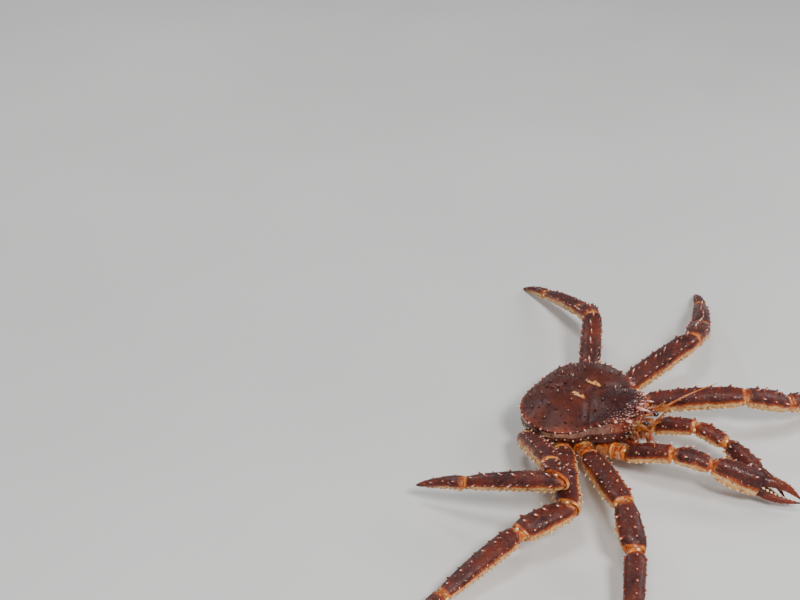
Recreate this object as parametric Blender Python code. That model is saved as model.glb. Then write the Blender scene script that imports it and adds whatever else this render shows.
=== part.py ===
"""A red king crab at rest on the floor, life size, in metres with +Z up.

The crab faces -Y and its left side is +X. The origin is the point of the belly on the floor below
the middle of the carapace. Every limb is a chain of straight segments that meet on the plane that
halves the bend between them, so neighbouring faces lie flat against each other with a small gap.
"""
import bpy
import bmesh
from math import asin, cos, degrees, exp, pi, radians, sin, sqrt
from random import Random
from mathutils import Matrix, Vector

MODEL = "red_king_crab"
GAP = 0.0003

# Body, from the floor up
BELLY_THICKNESS = 0.0120
CEILING_Z = 0.0490
CUT_Z = 0.0520
MARGIN_Z = 0.0630
DOME_RISE = 0.0190
HALF_WIDTH = 0.0960
FRONT_Y = -0.0840
REAR_Y = 0.0730
CENTRE = Vector((0.0, 0.004))

# The margin rises towards the face between these two places along the body
FRONT_LIFT = 0.0140
LIFT_START_Y = -0.0250
LIFT_END_Y = -0.0700

# Half outline of the carapace from the rostrum's base to the middle of the hind margin,
# as fractions of HALF_WIDTH across and of FRONT_Y or REAR_Y along the body
HALF_OUTLINE = (
    (0.11, -1.00), (0.19, -0.95), (0.30, -0.93), (0.42, -0.79), (0.52, -0.63), (0.59, -0.48),
    (0.74, -0.37), (0.87, -0.22), (0.97, -0.02), (1.00, 0.24), (0.94, 0.50), (0.79, 0.76),
    (0.55, 0.94), (0.27, 1.00),
)
OUTLINE_SIDES = 56
SHELL_RINGS = (0.12, 0.24, 0.36, 0.48, 0.59, 0.69, 0.78, 0.86, 0.92, 0.97)

# Lobes of the carapace: middle across, middle along, reach across, reach along, height
LOBES = (
    (0.000, -0.040, 0.030, 0.026, 0.0070),
    (0.000, 0.020, 0.012, 0.024, 0.0045),
    (0.000, 0.056, 0.016, 0.012, 0.0025),
    (0.050, 0.018, 0.030, 0.036, 0.0060),
    (-0.050, 0.018, 0.030, 0.036, 0.0060),
)
GROOVE_DEPTH = 0.0042
GROOVE_REACH = 0.0060

# Limbs
SECTION_SIDES = 10
SQUARENESS = 2.3
HIP_PITCH = 12
HIP_SIZE = (0.0112, 0.0105)
WALKING = {
    2: dict(lengths=(0.135, 0.068, 0.115, 0.066), size=(0.0162, 0.0136)),
    3: dict(lengths=(0.142, 0.072, 0.124, 0.070), size=(0.0168, 0.0140)),
    4: dict(lengths=(0.122, 0.046, 0.117, 0.0705), size=(0.0156, 0.0132)),
}
CLAW = {
    "right": dict(lengths=(0.066, 0.048, 0.066, 0.056), size=(0.0125, 0.0125),
                  palm=(0.0135, 0.0185)),
    "left": dict(lengths=(0.060, 0.044, 0.056, 0.048), size=(0.0112, 0.0112),
                 palm=(0.0112, 0.0150)),
}

# Roots of the limbs on the right side, mirrored for the left one, and the length of each hip
ROOTS = {
    1: (-0.034, -0.061, 0.027), 2: (-0.052, -0.024, 0.027),
    3: (-0.054, 0.006, 0.027), 4: (-0.050, 0.036, 0.027),
}
HIP_LENGTH = {1: 0.028, 2: 0.041, 3: 0.047, 4: 0.046}

# Directions of hip, merus, carpus, propodus and dactyl: yaw forward of straight out to the side,
# then the pitch of merus, carpus and propodus, in degrees
POSE = {
    ("right", 1): ((82, 95, 108, 112), (20, -6, -16)),
    ("right", 2): ((49, 47, 41, 27, 20), (11, -16, -12)),
    ("right", 3): ((36, 33.2, -27, -12, -8), (7.6, -10.4, -11)),
    ("right", 4): ((3, 47.2, 38.4, -70, -79.5), (19.8, 12.5, -14)),
    ("left", 1): ((76, 84, 88, 104), (18, -10, -18)),
    ("left", 2): ((45, 66, 42, 24, 18), (13, -16, -14)),
    ("left", 3): ((23, 16, -14, -24, -30), (12, -14, -14)),
    ("left", 4): ((-12, -28, -46, -60, -66), (14, -16, -15)),
}

# Height of a walking leg's tip, where it is held above the floor
RAISED_TIPS = {("right", 4): 0.032}

# Widths along each segment: place from root to tip, then factors across and in height
HIP_PROFILE = ((0.0, 1.0, 1.0), (0.35, 1.08, 1.04), (0.8, 0.98, 0.95))
MERUS_PROFILE = ((0.0, 0.70, 0.75), (0.08, 0.92, 0.92), (0.35, 1.0, 1.0), (0.75, 0.98, 0.98),
                 (0.92, 0.92, 0.92), (1.0, 0.70, 0.72))
CARPUS_PROFILE = ((0.0, 0.70, 0.72), (0.18, 0.88, 0.88), (0.60, 0.98, 0.96), (0.86, 0.92, 0.90),
                  (1.0, 0.64, 0.66))
PROPODUS_PROFILE = ((0.0, 0.64, 0.66), (0.10, 0.80, 0.80), (0.45, 0.78, 0.78), (0.85, 0.64, 0.64),
                    (1.0, 0.50, 0.50))
DACTYL_PROFILE = ((0.0, 0.50, 0.50), (0.10, 0.58, 0.58), (0.45, 0.46, 0.48), (0.78, 0.28, 0.30),
                  (1.0, 0.11, 0.12))
PALM_PROFILE = ((0.16, 0.82, 0.80), (0.45, 1.0, 1.0), (0.80, 0.98, 1.0), (1.0, 0.86, 0.92))

# How far the middle of each segment is bowed up, from hip to dactyl
LEG_BOWS = (0.0, 0.002, 0.001, 0.002, 0.003)
CLAW_BOWS = (0.0, 0.002, 0.002, 0.0)

# Rows of spines along a segment: degrees around it from its side, first and last place,
# how many, and how long
MERUS_ROWS = (
    (90, 0.12, 0.90, 6, 0.0078), (42, 0.18, 0.86, 5, 0.0062), (138, 0.18, 0.86, 5, 0.0062),
    (-20, 0.26, 0.78, 5, 0.0058), (200, 0.26, 0.78, 5, 0.0058),
)
CARPUS_ROWS = (
    (90, 0.22, 0.80, 4, 0.0078), (38, 0.30, 0.78, 3, 0.0066), (142, 0.30, 0.78, 3, 0.0066),
    (-10, 0.50, 0.60, 1, 0.0055), (190, 0.50, 0.60, 1, 0.0055),
)
PROPODUS_ROWS = (
    (90, 0.10, 0.90, 6, 0.0062), (25, 0.12, 0.86, 5, 0.0052), (155, 0.12, 0.86, 5, 0.0052),
    (-90, 0.30, 0.90, 4, 0.0042),
)
DACTYL_ROWS = (
    (60, 0.14, 0.60, 3, 0.0038), (120, 0.14, 0.60, 3, 0.0038), (-90, 0.20, 0.62, 3, 0.0042),
)
CLAW_MERUS_ROWS = (
    (90, 0.18, 0.88, 3, 0.0080), (30, 0.30, 0.86, 3, 0.0070), (150, 0.30, 0.86, 3, 0.0070),
)
CLAW_CARPUS_ROWS = (
    (90, 0.24, 0.82, 3, 0.0080), (30, 0.34, 0.80, 2, 0.0078), (150, 0.34, 0.80, 2, 0.0078),
)
PALM_ROWS = (
    (90, 0.14, 0.84, 4, 0.0070), (40, 0.18, 0.82, 3, 0.0060), (140, 0.18, 0.82, 3, 0.0060),
    (0, 0.30, 0.80, 2, 0.0040), (180, 0.30, 0.80, 2, 0.0040),
)
SPINE_SLIMNESS = 0.32
SPINE_LEAN = 0.55
SPINE_VARIATION = 0.16

# Spines of the carapace
BACK_SPINE = 0.0062
MARGIN_SPINE = 0.0078
MARGIN_STEP = 2
GILL_RINGS = ((0.44, 3), (0.66, 4), (0.85, 5))
GILL_ANGLES = (-22, 78)
BEAK_LENGTH = 0.0230

# Spines beside the beak and over the eyes: place across, behind the front and above the margin,
# way they point, length and radius
FACE_SPINES = (
    (0.0035, 0.006, 0.006, (0.35, -0.75, 0.60), 0.0085, 0.0024),
    (0.0290, 0.008, -0.001, (0.20, -1.00, 0.18), 0.0120, 0.0032),
    (0.0380, 0.020, -0.001, (0.50, -0.85, 0.30), 0.0100, 0.0030),
)

# The folded tail from its root behind the body to its end under the breast: place along the body,
# height and half width; then which of these places are seams between its plates
TAIL_Y = 0.0585
TAIL = (
    (TAIL_Y, 0.0385, 0.030), (TAIL_Y, 0.0200, 0.036), (TAIL_Y - 0.0018, 0.0078, 0.038),
    (0.0425, 0.0060, 0.041), (0.0225, 0.0060, 0.042), (0.0060, 0.0060, 0.039),
    (-0.0075, 0.0060, 0.033), (-0.0255, 0.0060, 0.021), (-0.0380, 0.0060, 0.011),
)
TAIL_SEAMS = (0, 3, 4, 6, 7)
SEAM_DEPTH = 0.0012
SEAM_REACH = 0.0015
TAIL_SECTION = ((1.0, -0.35), (1.0, 0.35), (0.88, 1.0), (-0.88, 1.0), (-1.0, 0.35), (-1.0, -0.35),
                (-0.86, -1.0), (0.86, -1.0))

# Roots of the face's parts on the left side
EYE_ROOT = (0.0095, -0.0850, 0.0665)
ANTENNA_ROOT = (0.0235, -0.0806, 0.0625)
ANTENNULE_ROOT = (0.0075, -0.0850, 0.0590)
MOUTH_ROOT = (0.0120, -0.0680, 0.0340)
STALK_LENGTH = 0.0130
WHIP_RINGS = 8
WHIP_STEP = 0.0085

SHELL_COLOURS = {
    "carapace": (0.16, 0.045, 0.040), "thorax": (0.42, 0.20, 0.13), "abdomen": (0.55, 0.38, 0.26),
    "limb": (0.22, 0.075, 0.065), "claw": (0.20, 0.07, 0.06), "feeler": (0.62, 0.22, 0.06),
    "eyestalk": (0.45, 0.20, 0.14), "eye": (0.02, 0.012, 0.010),
}


def material(name):
    """Wet shell in one of the crab's colours."""
    made = bpy.data.materials.get(name)
    if made:
        return made
    made = bpy.data.materials.new(name)
    made.use_nodes = True
    shader = made.node_tree.nodes["Principled BSDF"]
    shader.inputs["Base Color"].default_value = (*SHELL_COLOURS[name], 1.0)
    shader.inputs["Roughness"].default_value = 0.18 if name == "eye" else 0.42
    shader.inputs["Metallic"].default_value = 0.0
    return made


def clear_scene():
    for old in list(bpy.data.objects):
        bpy.data.objects.remove(old)


def collection(name, hidden=False):
    made = bpy.data.collections.new(name)
    bpy.context.scene.collection.children.link(made)
    made.hide_render = hidden
    return made


def mesh_from(name, verts, faces):
    """A mesh from points and faces, with every face turned outward."""
    bm = bmesh.new()
    points = [bm.verts.new(v) for v in verts]
    for face in faces:
        bm.faces.new([points[i] for i in face])
    bmesh.ops.recalc_face_normals(bm, faces=bm.faces)
    mesh = bpy.data.meshes.new(name)
    bm.to_mesh(mesh)
    bm.free()
    return mesh


def loft(name, rings):
    """A closed skin through rings of equally many points, with a flat end at each side."""
    count = len(rings[0])
    verts = [p for ring in rings for p in ring]
    faces = []
    for level in range(len(rings) - 1):
        a = level * count
        b = a + count
        for i in range(count):
            j = (i + 1) % count
            faces.append((a + i, a + j, b + j, b + i))
    faces.append(tuple(range(count)))
    faces.append(tuple(range(len(verts) - count, len(verts))))
    return mesh_from(name, verts, faces)


def keep_largest(mesh):
    """Drop every closed surface of the mesh but the one with the most faces."""
    bm = bmesh.new()
    bm.from_mesh(mesh)
    left = set(bm.faces)
    groups = []
    while left:
        todo = [left.pop()]
        group = []
        while todo:
            face = todo.pop()
            group.append(face)
            for edge in face.edges:
                for other in edge.link_faces:
                    if other in left:
                        left.remove(other)
                        todo.append(other)
        groups.append(group)
    groups.sort(key=len)
    for group in groups[:-1]:
        bmesh.ops.delete(bm, geom=group, context="FACES")
    loose = [v for v in bm.verts if not v.link_faces]
    bmesh.ops.delete(bm, geom=loose, context="VERTS")
    bm.to_mesh(mesh)
    bm.free()


class Builder:
    """Makes the named objects and joins what grows from them."""

    def __init__(self):
        self.parts = collection(MODEL)
        self.root = bpy.data.objects.new("crab_root", None)
        self.parts.objects.link(self.root)

    def add(self, name, mesh, colour, origin, extras=(), solver="EXACT"):
        """One sub-part: its mesh, with the extra meshes fused on, and its origin at its root."""
        thing = bpy.data.objects.new(name, mesh)
        self.parts.objects.link(thing)
        if extras:
            self.join(thing, extras, solver)
        thing.data.name = name
        thing.data.materials.clear()
        thing.data.materials.append(material(colour))
        thing.data.transform(Matrix.Translation(-Vector(origin)))
        thing.location = origin
        thing.parent = self.root
        return thing

    def join(self, thing, extras, solver):
        """Boolean union of the object with every extra mesh."""
        helpers = collection("joined_to_" + thing.name, hidden=True)
        pieces = []
        for extra in extras:
            piece = bpy.data.objects.new("piece", extra)
            piece.hide_render = True
            piece.display_type = "WIRE"
            helpers.objects.link(piece)
            pieces.append(piece)
        union = thing.modifiers.new("join", "BOOLEAN")
        union.operation = "UNION"
        union.operand_type = "COLLECTION"
        union.collection = helpers
        union.solver = solver
        bpy.context.view_layer.update()
        graph = bpy.context.evaluated_depsgraph_get()
        joined = bpy.data.meshes.new_from_object(thing.evaluated_get(graph))
        thing.modifiers.clear()
        thing.data = joined
        for piece in pieces:
            bpy.data.objects.remove(piece)
        bpy.data.collections.remove(helpers)
        keep_largest(thing.data)


def superellipse(angle, across, height):
    """A point of a rounded oblong section."""
    c = cos(angle)
    s = sin(angle)
    x = across * abs(c) ** (2 / SQUARENESS) * (1 if c >= 0 else -1)
    y = height * abs(s) ** (2 / SQUARENESS) * (1 if s >= 0 else -1)
    return x, y


def between(stations, place):
    """Factors read from a profile at a place between 0 and 1."""
    for low, high in zip(stations, stations[1:]):
        if place <= high[0]:
            part = (place - low[0]) / (high[0] - low[0])
            return [a + (b - a) * part for a, b in zip(low[1:], high[1:])]
    return list(stations[-1][1:])


def turned(vector, old, new):
    """The vector after the least turn that takes one direction to another."""
    return old.rotation_difference(new) @ vector


class Segment:
    """A straight length of limb between two joint planes."""

    END_POWER = 3

    def __init__(self, start, end, side, up, start_normal, end_normal, profile, size, bow, end_gap):
        self.start = start
        self.length = (end - start).length
        self.axis = (end - start).normalized()
        self.side = side
        self.up = up
        self.start_normal = start_normal
        self.end_normal = end_normal
        self.profile = profile
        self.size = size
        self.bow = bow
        self.end_gap = end_gap

    def surface(self, place, angle):
        """A point of the skin and the direction straight out from the axis there."""
        across, height = between(self.profile, place)
        a, b = superellipse(angle, self.size[0] * across, self.size[1] * height)
        corner = self.side * a + self.up * b
        near = (GAP / 2 - self.start_normal.dot(corner)) / self.start_normal.dot(self.axis)
        far = (-self.end_gap - self.end_normal.dot(corner)) / self.end_normal.dot(self.axis)
        sheared = near * (1 - place) ** self.END_POWER + far * place ** self.END_POWER
        along = self.length * place + sheared
        point = self.start + corner + self.axis * along + self.up * (self.bow * sin(pi * place))
        return point, corner.normalized()

    def mesh(self, name):
        rings = []
        for station in self.profile:
            angles = [2 * pi * i / SECTION_SIDES for i in range(SECTION_SIDES)]
            rings.append([self.surface(station[0], angle)[0] for angle in angles])
        return loft(name, rings)

    def socket(self, depth, growth):
        """The stub that carries this segment: its face lies against the segment's first face."""
        rings = []
        for back, scale in ((depth, growth), (0.0, 1.0)):
            ring = []
            for i in range(SECTION_SIDES):
                across, height = self.profile[0][1:]
                angle = 2 * pi * i / SECTION_SIDES
                a, b = superellipse(angle, self.size[0] * across, self.size[1] * height)
                corner = (self.side * a + self.up * b) * scale
                depth_here = GAP / 2 + self.start_normal.dot(corner)
                shift = -depth_here / self.start_normal.dot(self.axis)
                ring.append(self.start + corner + self.axis * (shift - back))
            rings.append(ring)
        return loft("socket", rings)


def circle(middle, side, up, radius, sides, turn=0.0):
    """Equally spaced points around a middle."""
    angles = [turn + 2 * pi * k / sides for k in range(sides)]
    return [middle + side * (radius * cos(a)) + up * (radius * sin(a)) for a in angles]


def tube(name, points, radii, sides=6, first_gap=GAP / 2):
    """A tapering round form along a line of points, with flat ends across the line."""
    rings = []
    axis = (points[1] - points[0]).normalized()
    side = axis.cross(Vector((0, 0, 1))).normalized()
    for i, (point, radius) in enumerate(zip(points, radii)):
        ahead = points[min(i + 1, len(points) - 1)]
        behind = points[max(i - 1, 0)]
        new_axis = (ahead - behind).normalized()
        side = turned(side, axis, new_axis)
        axis = new_axis
        up = side.cross(axis)
        middle = point + axis * first_gap if i == 0 else point
        rings.append(circle(middle, side, up, radius, sides))
    return loft(name, rings)


def stub(point, direction, radius, depth, sides=6):
    """The root that carries a tube which starts at the point and goes in the direction."""
    side = direction.cross(Vector((0, 0, 1))).normalized()
    up = side.cross(direction)
    foot = circle(point - direction * depth, side, up, radius * 1.3, sides)
    face = circle(point - direction * (GAP / 2), side, up, radius, sides)
    return loft("stub", [foot, face])


def spine(base, direction, length, radius, sides=4, sunk=0.4, turn=0.3):
    """A pointed spine whose root is sunk into what carries it."""
    side = direction.orthogonal().normalized()
    up = direction.cross(side)
    foot = base - direction * (length * sunk)
    wide = radius * (1 + sunk)
    verts = circle(foot, side, up, wide, sides, turn) + [base + direction * length]
    faces = [(k, (k + 1) % sides, sides) for k in range(sides)]
    faces.append(tuple(range(sides)))
    return mesh_from("spine", verts, faces)


def varied(rng, size):
    return size * (1 + SPINE_VARIATION * rng.uniform(-1, 1))


def rows_on(segment, rows, rng):
    """Spines in rows along a segment, leaning towards its tip, every other one smaller."""
    made = []
    for around, first, last, count, length in rows:
        for k in range(count):
            place = first + (last - first) * (k + 0.12 * rng.uniform(-1, 1)) / max(count - 1, 1)
            angle = radians(around + 5 * rng.uniform(-1, 1))
            base, outward = segment.surface(max(place, 0.08), angle)
            lean = (outward + segment.axis * SPINE_LEAN).normalized()
            size = varied(rng, length) * (1.0 if k % 2 == 0 else 0.8)
            made.append(spine(base, lean, size, size * SPINE_SLIMNESS, turn=rng.uniform(0, 1.5)))
    return made


def closed_outline(count):
    """The carapace's outline as equally spaced points, counter-clockwise from the front."""
    half = [(x * HALF_WIDTH, y * (-FRONT_Y if y < 0 else REAR_Y)) for x, y in HALF_OUTLINE]
    knots = [Vector(p) for p in half] + [Vector((0.0, REAR_Y))]
    knots += [Vector((-p[0], p[1])) for p in reversed(half)]
    fine = []
    for i in range(len(knots)):
        p0, p1, p2, p3 = (knots[(i + k - 1) % len(knots)] for k in range(4))
        for step in range(12):
            t = step / 12
            fine.append(0.5 * (2 * p1 + (p2 - p0) * t + (2 * p0 - 5 * p1 + 4 * p2 - p3) * t * t
                               + (3 * p1 - p0 - 3 * p2 + p3) * t ** 3))
    lengths = [0.0]
    for a, b in zip(fine, fine[1:] + fine[:1]):
        lengths.append(lengths[-1] + (b - a).length)
    even = []
    at = 0
    for i in range(count):
        goal = lengths[-1] * i / count
        while lengths[at + 1] < goal:
            at += 1
        part = (goal - lengths[at]) / (lengths[at + 1] - lengths[at])
        even.append(fine[at].lerp(fine[(at + 1) % len(fine)], part))
    return even


def margin_share(x, y, outline):
    """How far a point lies from the middle of the carapace: 0 there and 1 on its margin."""
    ray = Vector((x, y)) - CENTRE
    if ray.length < 1e-6:
        return 0.0
    for a, b in zip(outline, outline[1:] + outline[:1]):
        edge = b - a
        cross = ray.x * edge.y - ray.y * edge.x
        if abs(cross) < 1e-12:
            continue
        start = a - CENTRE
        reach = (start.x * edge.y - start.y * edge.x) / cross
        along = (start.x * ray.y - start.y * ray.x) / cross
        if reach > 0 and -1e-6 <= along <= 1 + 1e-6:
            return 1 / reach
    return 1.0


def groove(x, y):
    """Depth of the grooves between stomach, heart and gill regions, from 0 to 1."""
    width = abs(x)
    neck = y + 0.008 + 0.50 * width
    beside = width - 0.018 - 0.06 * (y + 0.012)
    behind = 1 / (1 + exp(-(y + 0.010) / 0.004))
    before_rear = 1 / (1 + exp((y - 0.050) / 0.005))
    across = exp(-(neck / GROOVE_REACH) ** 2)
    along = exp(-(beside / GROOVE_REACH) ** 2) * behind * before_rear
    return max(across, along)


def margin_z(y):
    """Height of the carapace's margin at a place along the body."""
    part = min(max((LIFT_START_Y - y) / (LIFT_START_Y - LIFT_END_Y), 0.0), 1.0)
    return MARGIN_Z + FRONT_LIFT * part * part * (3 - 2 * part)


def shell_z(x, y, share):
    """Height of the carapace at a point whose share of the way to the margin is known."""
    share = min(share, 1.0)
    rise = DOME_RISE * (1 - share ** 2.2) ** 0.9
    fade = 1 - share ** 5
    lobes = 0.0
    for across, along, reach_x, reach_y, height in LOBES:
        lobes += height * exp(-((x - across) / reach_x) ** 2 - ((y - along) / reach_y) ** 2)
    return margin_z(y) + rise + fade * (lobes - GROOVE_DEPTH * groove(x, y))


def shell_point(x, y, outline):
    """A point of the carapace above (x, y) and the way its surface faces there."""
    step = 0.002
    height = {}
    for dx, dy in ((0, 0), (step, 0), (0, step), (-step, 0), (0, -step)):
        height[dx, dy] = shell_z(x + dx, y + dy, margin_share(x + dx, y + dy, outline))
    slope = (height[-step, 0] - height[step, 0], height[0, -step] - height[0, step], 2 * step)
    return Vector((x, y, height[0, 0])), Vector(slope).normalized()


def carapace_spines(outline):
    """Pairs over stomach and heart, rings over the gills, the toothed margin and the beak."""
    rng = Random(7)
    spots = [(0.0105 + 0.0030 * k, -0.066 + 0.0155 * k, 1.15) for k in range(3)]
    spots += [(0.0085 + 0.0010 * k, 0.006 + 0.0210 * k, 1.0) for k in range(3)]
    spots += [(0.030, -0.050, 0.9), (0.034, -0.034, 0.9)]
    for share, count in GILL_RINGS:
        for k in range(count):
            angle = radians(GILL_ANGLES[0] + (GILL_ANGLES[1] - GILL_ANGLES[0]) * (k + 0.5) / count)
            ray = Vector((cos(angle), sin(angle)))
            probe = CENTRE + ray * 0.01
            reach = share * 0.01 / margin_share(probe.x, probe.y, outline)
            spots.append((CENTRE.x + ray.x * reach, CENTRE.y + ray.y * reach, 1.0))
    made = []
    for x, y, scale in spots:
        size = varied(rng, BACK_SPINE * scale)
        for side in (-1, 1):
            base, normal = shell_point(side * x, y, outline)
            axis = (normal + Vector((0, -0.15, 0))).normalized()
            made.append(spine(base, axis, size, size * 0.42, 5))
    half = len(outline) // 2
    for i in range(4, half + 1, MARGIN_STEP):
        size = varied(rng, MARGIN_SPINE) * (0.8 if i > half - 5 else 1.0)
        for k in {i, len(outline) - i}:
            edge = outline[k] - CENTRE
            outward = Vector((edge.x, edge.y, 0)).normalized()
            forward = Vector((0, -0.45, 0.32))
            foot = CENTRE + edge * 0.985
            base = Vector((*foot, margin_z(foot.y) - 0.0005))
            made.append(spine(base, (outward + forward).normalized(), size, size * 0.36, 5))
    beak = Vector((0, FRONT_Y + 0.010, margin_z(FRONT_Y) + 0.0030))
    made.append(spine(beak, Vector((0, -1, 0.10)).normalized(), BEAK_LENGTH, 0.0052, 6, 0.5))
    for x, y, z, way, length, radius in FACE_SPINES:
        for side in (-1, 1):
            base = Vector((side * x, FRONT_Y + y, margin_z(FRONT_Y) + z))
            axis = Vector((side * way[0], way[1], way[2])).normalized()
            made.append(spine(base, axis, length, radius, 5))
    return made


def carapace_mesh(outline):
    """Domed shield with a flat underside, made of rings around its middle."""
    count = len(outline)
    verts = [Vector((CENTRE.x, CENTRE.y, shell_z(CENTRE.x, CENTRE.y, 0.0)))]
    for share in (*SHELL_RINGS, 1.0):
        for p in outline:
            q = CENTRE + (p - CENTRE) * share
            verts.append(Vector((q.x, q.y, shell_z(q.x, q.y, share))))
    for p in outline:
        q = CENTRE + (p - CENTRE) * 0.985
        verts.append(Vector((q.x, q.y, CUT_Z + GAP / 2)))
    faces = [(0, 1 + i, 1 + (i + 1) % count) for i in range(count)]
    levels = len(SHELL_RINGS) + 1
    for level in range(levels):
        a = 1 + level * count
        for i in range(count):
            j = (i + 1) % count
            faces.append((a + i, a + j, a + count + j, a + count + i))
    faces.append(tuple(range(1 + levels * count, 1 + (levels + 1) * count)))
    return mesh_from("carapace", verts, faces)


def thorax_mesh(outline):
    """A thin skirt below the shield's margin, then the column that carries the limbs."""
    def skirt(z, scale):
        return [Vector((*(CENTRE + (p - CENTRE) * scale), z)) for p in outline]

    def column(z, half_width, front, rear):
        ring = []
        for p in outline:
            ray = (p - CENTRE).normalized()
            power = 2.6
            depth = front if ray.y < 0 else rear
            reach = (abs(ray.x / half_width) ** power + abs(ray.y / depth) ** power) ** (-1 / power)
            ring.append(Vector((CENTRE.x + ray.x * reach, CENTRE.y + ray.y * reach, z)))
        return ring

    rings = [
        skirt(CUT_Z - GAP / 2, 0.975), skirt(CEILING_Z, 0.930),
        column(CEILING_Z, 0.044, 0.072, 0.046), column(0.036, 0.039, 0.069, 0.044),
        column(0.022, 0.038, 0.062, 0.042), column(BELLY_THICKNESS + GAP, 0.034, 0.052, 0.038),
    ]
    return loft("thorax", rings)


def tail_ring(y, z, along, wide, dip):
    """A section of the tail: flat inside, rounded at the edges, its outer face sunk by the dip."""
    inward = Vector((0, -along[1], -along[0])).normalized()
    half = BELLY_THICKNESS / 2 * sqrt(along[0] ** 2 + along[1] ** 2)
    ring = []
    for across, deep in TAIL_SECTION:
        depth = half * deep if deep > 0 else (half - dip) * deep
        ring.append(Vector((across * wide, y, z)) + inward * depth)
    return ring


def abdomen_mesh():
    """The tail folded under the body: down behind the thorax, then forward flat on the floor."""
    rings = [tail_ring(TAIL_Y, CEILING_Z - GAP, (0, 1), TAIL[0][2] - 0.004, 0.0)]
    for i, (y, z, wide) in enumerate(TAIL):
        upright = z > BELLY_THICKNESS
        along = (0, 1) if upright else (-1, 1) if z > BELLY_THICKNESS / 2 else (-1, 0)
        if i in TAIL_SEAMS:
            for shift, dip in ((-1, 0.0), (0, SEAM_DEPTH), (1, 0.0)):
                step = -shift * SEAM_REACH
                place = (y, z + step) if upright else (y + step, z)
                rings.append(tail_ring(*place, along, wide, dip))
        else:
            rings.append(tail_ring(y, z, along, wide, 0.0))
    return loft("abdomen", rings)


def direction(side, yaw, pitch):
    """A unit vector from a yaw forward of straight out and a pitch above level."""
    out = 1 if side == "left" else -1
    flat = cos(radians(pitch))
    return Vector((out * cos(radians(yaw)) * flat, -sin(radians(yaw)) * flat, sin(radians(pitch))))


def limb_joints(side, number):
    """The joints of a limb from root to tip; a walking leg ends on the floor unless raised."""
    yaws, pitches = POSE[side, number]
    x, y, z = ROOTS[number]
    joints = [Vector((-x if side == "left" else x, y, z))]
    lengths = CLAW[side]["lengths"] if number == 1 else WALKING[number]["lengths"]
    angles = (HIP_PITCH, *pitches)
    for yaw, pitch, length in zip(yaws, angles, (HIP_LENGTH[number], *lengths)):
        joints.append(joints[-1] + direction(side, yaw, pitch) * length)
    if number > 1:
        drop = joints[-1].z - RAISED_TIPS.get((side, number), 0.0)
        fall = degrees(asin(drop / lengths[-1]))
        joints.append(joints[-1] + direction(side, yaws[-1], -fall) * lengths[-1])
    return joints


def limb_segments(joints, profiles, sizes, bows, last_normal, last_gap):
    """Segments along the joints, with sections that turn as little as they can at each bend."""
    axes = [(b - a).normalized() for a, b in zip(joints, joints[1:])]
    normals = [axes[0]] + [(a + b).normalized() for a, b in zip(axes, axes[1:])] + [last_normal]
    side = axes[0].cross(Vector((0, 0, 1))).normalized()
    up = side.cross(axes[0])
    segments = []
    for i, axis in enumerate(axes):
        if i:
            side = turned(side, axes[i - 1], axis)
            up = turned(up, axes[i - 1], axis)
        end_gap = last_gap if i == len(axes) - 1 else GAP / 2
        segments.append(Segment(joints[i], joints[i + 1], side.copy(), up.copy(), normals[i],
                                normals[i + 1], profiles[i], sizes[i], bows[i], end_gap))
    return segments


def hip_profile(size):
    """A hip's widths, ending at those of the merus of the given size."""
    end = [size[k] * MERUS_PROFILE[0][k + 1] / HIP_SIZE[k] for k in range(2)]
    return (*HIP_PROFILE, (1.0, *end))


def walking_leg(builder, side, number):
    """A walking leg in five nodes, from hip to dactyl; returns its socket for the thorax."""
    size = WALKING[number]["size"]
    joints = limb_joints(side, number)
    profiles = (hip_profile(size), MERUS_PROFILE, CARPUS_PROFILE, PROPODUS_PROFILE, DACTYL_PROFILE)
    segments = limb_segments(joints, profiles, (HIP_SIZE, size, size, size, size), LEG_BOWS,
                             Vector((0, 0, -1)), 0.0)
    names = ("hip", "merus", "carpus", "propodus", "dactyl")
    rows = ((), MERUS_ROWS, CARPUS_ROWS, PROPODUS_ROWS, DACTYL_ROWS)
    rng = Random(10 * number + len(side))
    for name, segment, own_rows in zip(names, segments, rows):
        label = f"{side}_leg_{number}_{name}"
        spines = rows_on(segment, own_rows, rng)
        builder.add(label, segment.mesh(label), "limb", segment.start, spines)
    return segments[0].socket(0.026, 0.85)


def claw_finger(name, base, axis, up, length, drops, radii, start):
    """A curved finger; drops are its heights off the palm's axis from root to tip."""
    side = axis.cross(up)
    rings = []
    last = len(drops) - 1
    for i, (drop, radius) in enumerate(zip(drops, radii)):
        along = start + (length - start) * i / last
        middle = base + axis * along + up * drop
        ring = []
        for k in range(8):
            angle = 2 * pi * k / 8
            ring.append(middle + side * (radius * 0.85 * cos(angle)) + up * (radius * sin(angle)))
        rings.append(ring)
    return loft(name, rings)


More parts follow.
